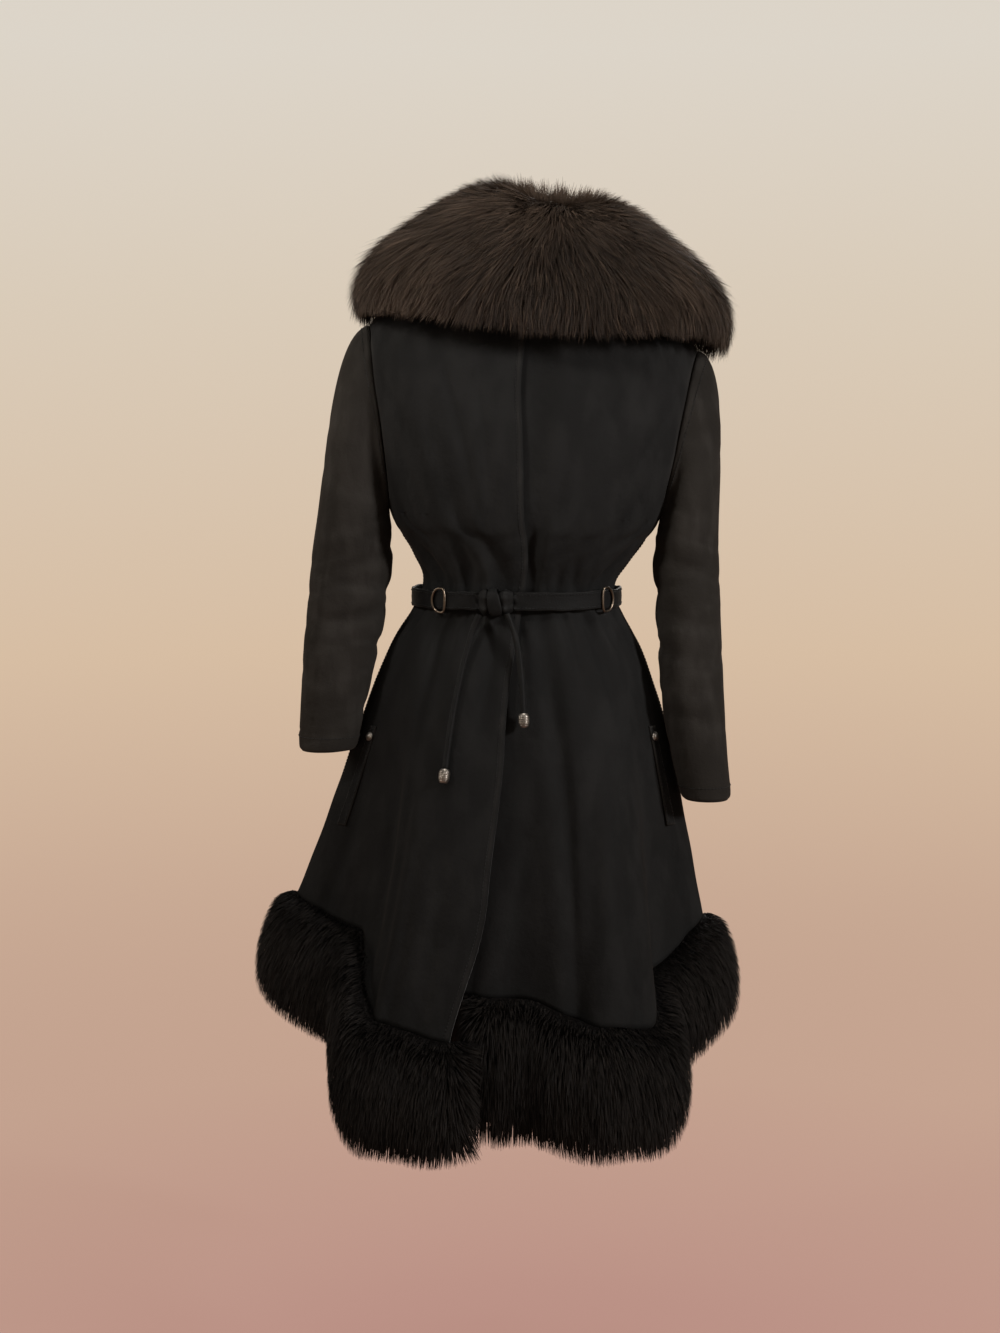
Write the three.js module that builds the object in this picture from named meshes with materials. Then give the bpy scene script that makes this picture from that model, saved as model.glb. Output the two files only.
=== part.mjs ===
// A belted shearling coat, shaped as when it is worn, with nobody in it.
// Wrapped fronts, two backs, two sleeves with turned cuffs, a deep long-haired collar over the shoulders,
// a long-haired roll round a flared and folded hem, and a tied waist belt with beaded ends.
// Millimetres, +Z up, the coat's front faces -Y and the wearer's left is +X.
// The origin is the middle of the neck, level with the points where the coat sits on the shoulders.
import * as THREE from "three";

// ---- Driving sizes ----
const clothWall = 5; // suede with its clipped wool inside
const seamGap = 0.5; // between two pieces that meet
const waistHeight = -405;
const shoulderRoll = 4.5; // degrees by which the left shoulder is the lower one
const wrapOverlap = 17; // degrees by which the left front runs on under the right front
const beltHeight = 24;
const beltThickness = 4;
const beltClearance = 7.6; // from the gathered waist
const tailDiameter = 8;
const beadDiameter = 15;
const beadLength = 18;
const studDiameter = 12;
const radians = THREE.MathUtils.degToRad;

// ---- The body of the coat: sections from the neckline to the hem ----
// A torso row gives its height; a skirt row gives its share of the way from waist to hem instead.
const torsoRows = [
  { z: 12, halfWidth: 66, front: 60, back: 60, frontDrop: 34, power: 2, shift: 4, roll: shoulderRoll },
  { z: -6, halfWidth: 92, front: 72, back: 74, frontDrop: 26, power: 2, shift: 0, roll: shoulderRoll },
  { z: -22, halfWidth: 134, front: 82, back: 88, frontDrop: 18, power: 2.1, shift: -4, roll: shoulderRoll },
  { z: -44, halfWidth: 196, front: 90, back: 98, frontDrop: 10, power: 2.3, shift: -8, roll: shoulderRoll },
  { z: -62, halfWidth: 216, front: 98, back: 104, frontDrop: 4, power: 2.4, shift: -10, roll: shoulderRoll },
  { z: -120, halfWidth: 220, front: 114, back: 113, frontDrop: 0, power: 2.5, shift: -15, roll: 4.4 },
  { z: -200, halfWidth: 206, front: 129, back: 117, frontDrop: 0, power: 2.4, shift: -17, roll: 3.6 },
  { z: -297, halfWidth: 178, front: 127, back: 112, frontDrop: 0, power: 2.3, shift: -21, roll: 1.8 },
  { z: -326, halfWidth: 161, front: 120, back: 107, frontDrop: 0, power: 2.2, shift: -22, roll: 1.2 },
  { z: -352, halfWidth: 144, front: 111, back: 100, frontDrop: 0, power: 2.1, shift: -23, roll: 0.7 },
  { z: -380, halfWidth: 128, front: 100, back: 93, frontDrop: 0, power: 2.1, shift: -27, roll: 0.3 },
  { z: waistHeight, halfWidth: 128, front: 96, back: 90, frontDrop: 0, power: 2.1, shift: -32, roll: 0 },
];
const skirtRows = [
  { share: 0.05, halfWidth: 139, front: 102, back: 97, power: 2.1, shift: -32 },
  { share: 0.17, halfWidth: 166, front: 121, back: 117, power: 2.1, shift: -33 },
  { share: 0.34, halfWidth: 190, front: 141, back: 141, power: 2.1, shift: -34 },
  { share: 0.51, halfWidth: 208, front: 159, back: 161, power: 2.1, shift: -37 },
  { share: 0.68, halfWidth: 224, front: 176, back: 179, power: 2.1, shift: -41 },
  { share: 0.85, halfWidth: 240, front: 192, back: 196, power: 2.1, shift: -46 },
  { share: 1, halfWidth: 255, front: 206, back: 210, power: 2.1, shift: -52 },
];
const waistRow = torsoRows.length - 1;
const hemRow = waistRow + skirtRows.length;
const tipRow = 4; // shoulder tip, top of the armhole
const armpitRow = 7; // foot of the armhole
const armholeSpread = { front: 25, back: 24 }; // degrees each side of the shoulder seam

// The flared hem's crests (reach out) and troughs (reach in), round from the right side.
const sideAndBackFolds = [
  { angle: 58, reach: -26, hem: -882 },
  { angle: 84, reach: 14, hem: -828 },
  { angle: 110, reach: -24, hem: -862 },
  { angle: 136, reach: 24, hem: -915 },
  { angle: 160, reach: -24, hem: -912 },
  { angle: 184, reach: 26, hem: -930 },
  { angle: 206, reach: -24, hem: -905 },
  { angle: 229, reach: 22, hem: -895 },
  { angle: 252, reach: -22, hem: -845 },
  { angle: 275, reach: 17, hem: -798 },
  { angle: 307, reach: -30, hem: -828 },
];
// The right front is the upper layer: its free edge stays forward on the crest and hangs lower.
const wrapFolds = [
  { angle: -33, reach: 27, hem: -928 },
  { angle: -12, reach: 28, hem: -946 },
  { angle: 42, reach: 0, hem: -940 },
  ...sideAndBackFolds,
];
// The left front runs on behind that crest.
const hemFolds = [
  { angle: -30, reach: -8, hem: -888 },
  { angle: 6, reach: -27, hem: -903 },
  { angle: 27, reach: 22, hem: -933 },
  { angle: 42, reach: 23, hem: -942 },
  ...sideAndBackFolds,
];

// Where the right front's free edge runs, in degrees from the centre front.
const wrapEdge = [
  { row: 0, angle: -3 },
  { row: 5, angle: -1.5 },
  { row: waistRow, angle: 3 },
  { row: waistRow + 3, angle: -3.8 },
  { row: waistRow + 5, angle: -6.2 },
  { row: hemRow, angle: -12.5 },
];

// Soft creases: troughs along a path of [degrees, row], deepest where the cloth is drawn in to the belt.
const creases = [
  { path: [[-38, 4.6], [-30, 6.5], [-18, 8.2], [-8, 11]], width: 15, depth: 5 },
  { path: [[26, 4.4], [15, 5.9], [3, 7.4], [8, 11]], width: 14, depth: 5.5 },
  { path: [[-33, 7.3], [-31, 9], [-33, 11]], width: 12, depth: 5 },
  { path: [[18, 8.8], [21, 9.8], [23, 11]], width: 9, depth: 3.5 },
  { path: [[24, 8.2], [30, 9.6], [36, 11]], width: 10, depth: 4 },
  { path: [[-62, 7.8], [-56, 9.4], [-52, 11]], width: 11, depth: 4 },
  { path: [[64, 7.7], [57, 9.3], [52, 11]], width: 11, depth: 4 },
  { path: [[118, 8], [124, 9.6], [128, 11]], width: 12, depth: 4 },
  { path: [[140, 6.8], [148, 9], [150, 11]], width: 12, depth: 4.5 },
  { path: [[168, 7.6], [166, 9.4], [168, 11]], width: 11, depth: 4.5 },
  { path: [[194, 7.2], [190, 9.2], [187, 11]], width: 12, depth: 4.5 },
  { path: [[222, 6.9], [214, 9], [209, 11]], width: 13, depth: 4.5 },
  { path: [[246, 8], [239, 9.6], [234, 11]], width: 11, depth: 4 },
  { path: [[-33, 11], [-36, 12.6], [-38, 15]], width: 13, depth: 5, fades: true },
  { path: [[-9, 11], [-10, 12.4], [-14, 14.5]], width: 11, depth: 4, fades: true },
  { path: [[12, 11], [13, 13], [18, 16]], width: 14, depth: 5, fades: true },
  { path: [[36, 11], [43, 12.6], [50, 15]], width: 13, depth: 4.5, fades: true },
  { path: [[30, 13.6], [26, 15.6], [21, 18.2]], width: 15, depth: 6 },
  { path: [[-50, 13.4], [-46, 15.4], [-43, 17.9]], width: 17, depth: 7 },
  { path: [[-20, 14.2], [-21, 15.6], [-22, 18.2]], width: 14, depth: 3.5 },
  { path: [[128, 11], [122, 12.6], [116, 15]], width: 13, depth: 4.5, fades: true },
  { path: [[151, 11], [156, 13], [160, 15.5]], width: 14, depth: 5, fades: true },
  { path: [[187, 11], [184, 12.4], [180, 14]], width: 11, depth: 3.5, fades: true },
  { path: [[209, 11], [208, 13], [208, 15.5]], width: 14, depth: 5, fades: true },
  { path: [[234, 11], [244, 12.6], [252, 15]], width: 13, depth: 4.5, fades: true },
];

// ---- Reading the tables ----
const smooth = (t) => t * t * (3 - 2 * t);
const clamp01 = (t) => Math.min(1, Math.max(0, t));

// A value on a Catmull-Rom curve through a list, at a fractional index.
function curveAt(values, index) {
  const i = Math.min(values.length - 2, Math.max(0, Math.floor(index)));
  const t = index - i;
  const [a, b, c, d] = [i - 1, i, i + 1, i + 2].map(
    (k) => values[Math.min(values.length - 1, Math.max(0, k))],
  );
  return 0.5 * (2 * b + (c - a) * t + (2 * a - 5 * b + 4 * c - d) * t * t + (3 * b - a - 3 * c + d) * t ** 3);
}

const bodyColumns = {};
for (const key of ["halfWidth", "front", "back", "power", "shift"]) {
  bodyColumns[key] = [...torsoRows, ...skirtRows].map((row) => row[key]);
}
for (const key of ["z", "frontDrop", "roll"]) {
  bodyColumns[key] = torsoRows.map((row) => row[key]);
}
bodyColumns.share = [0, ...skirtRows.map((row) => row.share)];

// A fold table's reach or hem height at an angle, eased from each crest to the next trough.
function foldAt(folds, angle, key) {
  const first = folds[0].angle;
  const turned = ((((angle - first) % 360) + 360) % 360) + first;
  const next = folds.findIndex((fold) => fold.angle > turned);
  const after = next < 0 ? { ...folds[0], angle: first + 360 } : folds[next];
  const before = next < 0 ? folds[folds.length - 1] : folds[next - 1];
  const t = smooth((turned - before.angle) / (after.angle - before.angle));
  return before[key] + (after[key] - before[key]) * t;
}

function edgeAngle(row) {
  const next = Math.max(1, wrapEdge.findIndex((point) => point.row >= row));
  const [before, after] = [wrapEdge[next - 1], wrapEdge[next]];
  const t = (row - before.row) / (after.row - before.row);
  return before.angle + (after.angle - before.angle) * smooth(clamp01(t));
}

// How deep the creases are at a place on the body.
function creaseDepth(angle, row, radius) {
  let depth = 0;
  for (const crease of creases) {
    const path = crease.path;
    const [top, foot] = [path[0][1], path[path.length - 1][1]];
    if (row <= top || row >= foot) continue;
    const index = path.findIndex((point) => point[1] >= row) - 1;
    const t = (row - path[index][1]) / (path[index + 1][1] - path[index][1]);
    const centre = curveAt(path.map((point) => point[0]), index + t);
    const turn = ((((angle - centre) % 360) + 540) % 360) - 180;
    const across = (radians(turn) * radius) / crease.width;
    const along = (row - top) / (foot - top);
    const strength = crease.fades ? 1 - along : along;
    depth += crease.depth * Math.exp(-across * across) * smooth(clamp01(strength * 1.6));
  }
  return depth;
}

// Round or squared-off sine and cosine, for superellipse sections.
const squared = (value, power) => Math.sign(value) * Math.abs(value) ** (2 / power);

// A point on the outside of the body of the coat. The angle runs from the front towards the wearer's left.
function bodyPoint(angle, row, folds = hemFolds, sunk = 0, plain = false) {
  const at = (key) => curveAt(bodyColumns[key], row);
  const [sin, cos] = [Math.sin(radians(angle)), Math.cos(radians(angle))];
  const power = at("power");
  const inSkirt = row > waistRow;
  const share = inSkirt ? curveAt(bodyColumns.share, row - waistRow) : 0;
  const grown = clamp01((share - 0.05) / 0.95) ** 1.25;
  const creased = plain ? 0 : creaseDepth(angle, row, at("halfWidth"));
  const reach = foldAt(folds, angle, "reach") * grown - creased - sunk;
  const depth = cos > 0 ? at("front") : at("back");
  const x = at("halfWidth") * squared(sin, power) + reach * sin;
  const y = -depth * squared(cos, power) - reach * cos;
  if (inSkirt) {
    const height = waistHeight + share * (foldAt(folds, angle, "hem") - waistHeight);
    return new THREE.Vector3(at("shift") + x, y, height);
  }
  const roll = radians(at("roll"));
  const height = at("z") - (at("frontDrop") * (1 + cos)) / 2;
  return new THREE.Vector3(at("shift") + x * Math.cos(roll), y, height - x * Math.sin(roll));
}

// The way out of the coat's surface at a place on it.
function bodyNormal(angle, row, folds) {
  const [above, below] = [Math.max(0, row - 0.15), Math.min(hemRow, row + 0.15)];
  const down = bodyPoint(angle, below, folds).sub(bodyPoint(angle, above, folds));
  const along = bodyPoint(angle + 1.5, row, folds).sub(bodyPoint(angle - 1.5, row, folds));
  return down.cross(along).normalize();
}

// ---- Closed solids from grids of points ----
const midpoint = (points) =>
  points.reduce((sum, p) => sum.add(p), new THREE.Vector3()).divideScalar(points.length);

function solidFrom(points, triangles) {
  const geometry = new THREE.BufferGeometry();
  geometry.setAttribute("position", new THREE.Float32BufferAttribute(points.flatMap((p) => p.toArray()), 3));
  geometry.setIndex(triangles.flat());
  return geometry.toNonIndexed();
}

// The normals of a grid of points, out of the side from which rows run down and columns run to the left.
function gridNormals(grid, around) {
  const rows = grid.length;
  const columns = grid[0].length;
  return grid.map((line, i) =>
    line.map((_, j) => {
      const [up, down] = [grid[Math.max(0, i - 1)][j], grid[Math.min(rows - 1, i + 1)][j]];
      const previous = around ? (j + columns - 1) % columns : Math.max(0, j - 1);
      const following = around ? (j + 1) % columns : Math.min(columns - 1, j + 1);
      const along = new THREE.Vector3().subVectors(line[following], line[previous]);
      return new THREE.Vector3().subVectors(down, up).cross(along).normalize();
    }),
  );
}

// A solid between two grids of points. With around, the grids' last column joins their first.
function layeredSolid(outerGrid, innerGrid, around) {
  const [rows, columns] = [outerGrid.length, outerGrid[0].length];
  const [outer, inner] = [outerGrid.flat(), innerGrid.flat()];
  const at = (i, j, layer) => layer * rows * columns + i * columns + (j % columns);
  const triangles = [];
  const face = (a, b, c, d) => triangles.push([a, b, c], [a, c, d]);
  const last = around ? columns : columns - 1;
  for (let j = 0; j < last; j++) {
    for (let i = 0; i < rows - 1; i++) {
      face(at(i, j, 0), at(i + 1, j, 0), at(i + 1, j + 1, 0), at(i, j + 1, 0));
      face(at(i, j, 1), at(i, j + 1, 1), at(i + 1, j + 1, 1), at(i + 1, j, 1));
    }
    face(at(0, j, 0), at(0, j + 1, 0), at(0, j + 1, 1), at(0, j, 1));
    face(at(rows - 1, j, 0), at(rows - 1, j, 1), at(rows - 1, j + 1, 1), at(rows - 1, j + 1, 0));
  }
  for (let i = 0; i < rows - 1 && !around; i++) {
    face(at(i, 0, 0), at(i, 0, 1), at(i + 1, 0, 1), at(i + 1, 0, 0));
    face(at(i, columns - 1, 0), at(i + 1, columns - 1, 0), at(i + 1, columns - 1, 1), at(i, columns - 1, 1));
  }
  return solidFrom([...outer, ...inner], triangles);
}

// A wall whose outer face is the grid.
function wallSolid(grid, wall, around = false) {
  const normals = gridNormals(grid, around);
  const inner = grid.map((line, i) => line.map((p, j) => p.clone().addScaledVector(normals[i][j], -wall)));
  return layeredSolid(grid, inner, around);
}

// A solid swept through closed rings of points, with flat or joined ends.
function sweptSolid(rings, joined = false) {
  const [count, sides] = [rings.length, rings[0].length];
  const points = rings.flat();
  const at = (i, j) => (i % count) * sides + (j % sides);
  const triangles = [];
  for (let i = 0; i < (joined ? count : count - 1); i++) {
    for (let j = 0; j < sides; j++) {
      triangles.push([at(i, j), at(i + 1, j), at(i + 1, j + 1)], [at(i, j), at(i + 1, j + 1), at(i, j + 1)]);
    }
  }
  if (!joined) {
    const [first, end] = [points.length, points.length + 1];
    points.push(midpoint(rings[0]), midpoint(rings[count - 1]));
    for (let j = 0; j < sides; j++) {
      triangles.push([first, at(0, j), at(0, j + 1)], [end, at(count - 1, j + 1), at(count - 1, j)]);
    }
  }
  return solidFrom(points, triangles);
}

const steps = (from, to, count) =>
  Array.from({ length: count + 1 }, (_, i) => from + ((to - from) * i) / count);

// ---- Colours and finishes ----
const finish = (color, roughness, metalness = 0) =>
  new THREE.MeshStandardMaterial({ color, roughness, metalness });
const suede = finish(0x1d1c1d, 0.92);
const longFur = finish(0x1b1614, 0.8);
const strap = finish(0x141314, 0.7);
const nickel = finish(0x9a948c, 0.35, 0.9);

const coat = new THREE.Group();
coat.name = "shearling_coat";
function addPiece(name, geometry, material) {
  const mesh = new THREE.Mesh(geometry, material);
  mesh.name = name;
  coat.add(mesh);
}

// ---- Fronts and backs ----
const panelRows = [
  0, 1, 2, 3, 4, 4.06, 4.35, 4.9, 5.6, 6.3, 6.8, 6.95, 7,
  7.7, 8.5, 9.3, 10, 10.6, 11, 11.5, 12.2, 13, 13.9, 14.8, 15.7, 16.6, 17.3, hemRow,
];
// Half a seam's gap at the side of a row, and at the middle of the back, in degrees.
const sideSeam = (row) => THREE.MathUtils.radToDeg(seamGap / 2 / curveAt(bodyColumns.halfWidth, row)) * 1.1;
const backSeam = (row) => THREE.MathUtils.radToDeg(seamGap / 2 / curveAt(bodyColumns.halfWidth, row)) * 1.25;

// How far a panel's side edge stands back from the side seam, to leave the armhole open.
function armholeInset(row, spread) {
  const middle = (tipRow + armpitRow) / 2;
  const along = (row - middle) / (armpitRow - middle);
  return Math.abs(along) < 1 ? spread * Math.sqrt(1 - along * along) : 0;
}

// A panel between two edges, its wall square to the coat's own curved surface.
function panelSolid(edges, columns, folds, sunkAt = () => 0) {
  const grids = [[], []];
  for (const row of panelRows) {
    const [from, to] = edges(row);
    const places = steps(from, to, columns).map((angle) => {
      const normal = bodyNormal(angle, row, folds);
      return { point: bodyPoint(angle, row, folds).addScaledVector(normal, -sunkAt(angle, row)), normal };
    });
    grids[0].push(places.map(({ point }) => point));
    grids[1].push(places.map(({ point, normal }) => point.clone().addScaledVector(normal, -clothWall)));
  }
  return layeredSolid(grids[0], grids[1], false);
}

const frontSide = (row) => 90 - sideSeam(row) - armholeInset(row, armholeSpread.front);
const backSide = (row) => 90 - sideSeam(row) - armholeInset(row, armholeSpread.back);
const frontColumns = { right: 13, left: 16 };
const backColumns = 12;
const rightFrontEdges = (row) => [-frontSide(row), edgeAngle(row)];
const leftFrontEdges = (row) => [edgeAngle(row) - wrapOverlap, frontSide(row)];
const leftBackEdges = (row) => [180 - backSide(row), 180 - backSeam(row)];
const rightBackEdges = (row) => [180 + backSeam(row), 180 + backSide(row)];
// The left front lies one wall deeper where the right front covers it, and comes up beyond its edge.
const underLayer = (angle, row) =>
  (clothWall + 2.5) * (1 - smooth(clamp01((angle - edgeAngle(row) - 1) / 8)));
addPiece("front_right", panelSolid(rightFrontEdges, frontColumns.right, wrapFolds), suede);
addPiece("front_left", panelSolid(leftFrontEdges, frontColumns.left, hemFolds, underLayer), suede);
addPiece("back_left", panelSolid(leftBackEdges, backColumns, hemFolds), suede);
addPiece("back_right", panelSolid(rightBackEdges, backColumns, hemFolds), suede);

// ---- Sleeves ----
// A ring starts at the sleeve's outer side and runs round so that its faces look out, as the body's do.
const sleeveSides = 20;
const sleeveHead = [0.07, 0.2, 0.36, 0.54, 0.72, 0.87]; // shares of the way down the head
const sleeves = {
  right: {
    side: -1,
    lean: -0.17,
    rows: [
      { z: -318, x: -248, y: -4, halfWidth: 50.5, halfDepth: 66 },
      { z: -352, x: -249, y: -9, halfWidth: 54, halfDepth: 60 },
      { z: -388, x: -252, y: -16, halfWidth: 54, halfDepth: 56 },
      { z: -430, x: -257, y: -24, halfWidth: 52.5, halfDepth: 53 },
      { z: -477, x: -263, y: -32, halfWidth: 50, halfDepth: 51 },
      { z: -525, x: -270, y: -39, halfWidth: 45, halfDepth: 49 },
      { z: -570, x: -276, y: -44, halfWidth: 41, halfDepth: 46 },
      { z: -594, x: -279, y: -46, halfWidth: 39, halfDepth: 44 },
      { z: -604, x: -281, y: -47, halfWidth: 35, halfDepth: 40 },
    ],
  },
  left: {
    side: 1,
    lean: 0,
    rows: [
      { z: -328, x: 193, y: -4, halfWidth: 42, halfDepth: 66 },
      { z: -362, x: 192, y: -9, halfWidth: 44, halfDepth: 60 },
      { z: -400, x: 193, y: -16, halfWidth: 44, halfDepth: 56 },
      { z: -450, x: 195, y: -24, halfWidth: 43, halfDepth: 53 },
      { z: -505, x: 197, y: -34, halfWidth: 42.5, halfDepth: 51 },
      { z: -560, x: 201, y: -43, halfWidth: 40.5, halfDepth: 49 },
      { z: -615, x: 208, y: -50, halfWidth: 36.5, halfDepth: 46 },
      { z: -655, x: 214.5, y: -55, halfWidth: 33.5, halfDepth: 43 },
      { z: -667, x: 216, y: -57, halfWidth: 30.5, halfDepth: 39 },
    ],
  },
};
// Creases at the elbow and below the armpit, by height and by the degrees round from the outer side.
const sleeveCreases = [
  { z: -352, turn: 130, spread: 75, height: 11, slant: 16, depth: 4 },
  { z: -396, turn: 175, spread: 80, height: 12, slant: -14, depth: 5 },
  { z: -428, turn: 110, spread: 70, height: 10, slant: 12, depth: 4.5 },
  { z: -466, turn: 190, spread: 75, height: 12, slant: 10, depth: 4 },
  { z: -512, turn: 245, spread: 70, height: 13, slant: -12, depth: 3.5 },
  { z: -556, turn: 120, spread: 60, height: 12, slant: 10, depth: 3 },
];

function sleeveDent(turn, z) {
  let depth = 0;
  for (const crease of sleeveCreases) {
    const away = ((((turn - crease.turn) % 360) + 540) % 360) - 180;
    const up = z - crease.z - crease.slant * Math.sin(radians(away));
    depth += crease.depth * Math.exp(-((up / crease.height) ** 2) - (away / crease.spread) ** 2);
  }
  return depth;
}

// The armhole's edge at so many degrees from its top: the front half first, then the back half.
function armholePoint(turn, side) {
  const atFront = turn < 180;
  const middle = (tipRow + armpitRow) / 2;
  const half = armpitRow - middle;
  const row = middle - half * Math.cos(radians(turn));
  const spread = atFront ? armholeSpread.front : armholeSpread.back;
  const away = 90 - spread * Math.abs(Math.sin(radians(turn)));
  return bodyPoint(side * (atFront ? away : 180 - away), row);
}

function sleeveGrid({ side, lean, rows }) {
  const turns = steps(0, 360, sleeveSides).slice(0, -1);
  const ringPoint = (row, turn) => {
    const wide = row.halfWidth - sleeveDent(turn, row.z);
    const deep = row.halfDepth - sleeveDent(turn, row.z);
    const [cos, sin] = [Math.cos(radians(turn)), Math.sin(radians(turn))];
    const [x, y] = [side * wide * squared(cos, 2.15), -deep * squared(sin, 2.15)];
    return new THREE.Vector3(row.x + x, row.y + y, row.z);
  };
  const out = new THREE.Vector3(side, 0, -0.12).normalize();
  const down = new THREE.Vector3(lean, 0, -1).normalize();
  const head = [0, ...sleeveHead].map((t) =>
    turns.map((turn) => {
      const from = armholePoint(turn, side).addScaledVector(out, seamGap + 0.3);
      const to = ringPoint(rows[0], turn);
      const reach = from.distanceTo(to);
      const [a, b] = [2 * t ** 3 - 3 * t * t + 1, t ** 3 - 2 * t * t + t];
      const [c, d] = [3 * t * t - 2 * t ** 3, t ** 3 - t * t];
      return from
        .multiplyScalar(a)
        .addScaledVector(out, b * reach * 0.55)
        .addScaledVector(to, c)
        .addScaledVector(down, d * reach * 0.9);
    }),
  );
  const rings = steps(0, rows.length - 1, 13).map((index) => {
    const row = {};
    for (const key of ["z", "x", "y", "halfWidth", "halfDepth"]) {
      row[key] = curveAt(rows.map((entry) => entry[key]), index);
    }
    return turns.map((turn) => ringPoint(row, turn));
  });
  const grid = [...head, ...rings];
  return side > 0 ? grid.map((line) => [...line].reverse()) : grid;
}
addPiece("sleeve_right", wallSolid(sleeveGrid(sleeves.right), clothWall, true), suede);
addPiece("sleeve_left", wallSolid(sleeveGrid(sleeves.left), clothWall, true), suede);

// ---- Long-haired roll round the hem ----
// The roll's section, out from the cloth's face and down from its edge.
const furSection = [
  { out: -7, down: 5 }, { out: 1.5, down: 1.1 }, { out: 14, down: -6 }, { out: 29, down: 6 },
  { out: 38, down: 34 }, { out: 41, down: 68 }, { out: 38, down: 102 }, { out: 28, down: 132 },
  { out: 9, down: 148 }, { out: -10, down: 141 }, { out: -22, down: 112 }, { out: -26, down: 74 },
  { out: -22, down: 38 }, { out: -15, down: 15 },
];

// A roll along the hem through a list of angles. A rounded end narrows over its last few degrees.
function furRoll(angles, folds, rounding = {}, length = 1) {
  const [from, to] = [angles[0], angles[angles.length - 1]];
  const roundness = (away, over) => (over ? Math.sqrt(clamp01((away + 0.6) / over)) : 1);
  const rings = angles.map((angle) => {
    const edge = bodyPoint(angle, hemRow, folds);
    const above = bodyPoint(angle, hemRow - 0.4, folds);
    const along = bodyPoint(angle + 1, hemRow, folds).sub(bodyPoint(angle - 1, hemRow, folds));
    const fromCloth = edge.clone().sub(above).normalize();
    const normal = fromCloth.clone().cross(along).normalize();
    const radial = new THREE.Vector3(Math.sin(radians(angle)), -Math.cos(radians(angle)), 0);
    const out = normal.clone().multiplyScalar(0.85).addScaledVector(radial, 0.15).setZ(0).normalize();
    const down = fromCloth.clone().lerp(new THREE.Vector3(0, 0, -1), 0.65).normalize();
    // The roll's top edge meets the cloth's cut edge squarely; the rest hangs.
    const square = along.normalize().cross(normal).negate();
    if (square.z > 0) square.negate();
    const size = Math.min(roundness(angle - from, rounding.first), roundness(to - angle, rounding.last));
    const fall = length * (0.9 + 0.1 * size);
    return furSection.map((point, i) => {
      if (i < 2) return edge.clone().addScaledVector(normal, point.out).addScaledVector(square, point.down);
      const drop = point.down > 12 ? 12 + (point.down - 12) * fall : point.down;
      return edge.clone().addScaledVector(out, point.out * size).addScaledVector(down, drop);
    });
  });
  return sweptSolid(rings.map((ring) => [...ring].reverse()));
}
const hemAngles = (edges, columns) => steps(...edges(hemRow), columns);
const leftFurStart = -9.5;
const leftHem = hemAngles(leftFrontEdges, frontColumns.left).filter((angle) => angle > leftFurStart + 3);
addPiece(
  "fur_front_right",
  furRoll([...hemAngles(rightFrontEdges, frontColumns.right), -10.2, -8], wrapFolds, { last: 6 }),
  longFur,
);
addPiece(
  "fur_front_left",
  furRoll([leftFurStart, leftFurStart + 2, ...leftHem], hemFolds, { first: 9 }, 1.06),
  longFur,
);
addPiece("fur_back_left", furRoll(hemAngles(leftBackEdges, backColumns), hemFolds), longFur);
addPiece("fur_back_right", furRoll(hemAngles(rightBackEdges, backColumns), hemFolds), longFur);

// ---- Collar ----
// The fur side runs from the neckline up inside the neck, over the rim, and down to the outer edge.
// across is the share of the way from the rim out to the edge; up is the share of the way from edge to rim.
const collarFall = [
  { across: 0, up: 0.93, inAcross: 0.15, inUp: 0.78 },
  { across: 0.09, up: 1, inAcross: 0.22, inUp: 0.8 },
  { across: 0.26, up: 0.95, inAcross: 0.31, inUp: 0.72 },
  { across: 0.44, up: 0.85, inAcross: 0.42, inUp: 0.62 },
  { across: 0.61, up: 0.73, inAcross: 0.54, inUp: 0.51 },
  { across: 0.77, up: 0.59, inAcross: 0.66, inUp: 0.4 },
  { across: 0.925, up: 0.44, inAcross: 0.76, inUp: 0.29 },
  { across: 0.99, up: 0.29, inAcross: 0.82, inUp: 0.18 },
  { across: 1, up: 0.14, inAcross: 0.85, inUp: 0.09 },
  { across: 0.975, up: 0.02, inAcross: 0.87, inUp: 0.035 },
];
const collar = { halfWidth: 254, front: 156, back: 160, power: 2.3, shift: 1, rimRadius: 50, rimShift: 14 };
// The outer edge's and the rim's heights, round from the front.
const collarHeights = [
  { angle: -90, edge: -45, rim: 143 },
  { angle: -45, edge: -38, rim: 132 },
  { angle: -15, edge: -58, rim: 120 },
  { angle: 15, edge: -66, rim: 116 },
  { angle: 50, edge: -66, rim: 116 },
  { angle: 90, edge: -92, rim: 119 },
  { angle: 135, edge: -96, rim: 132 },
  { angle: 180, edge: -86, rim: 142 },
  { angle: 225, edge: -66, rim: 144 },
];
const collarSlit = { angle: -9, half: 0.35 };

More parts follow.
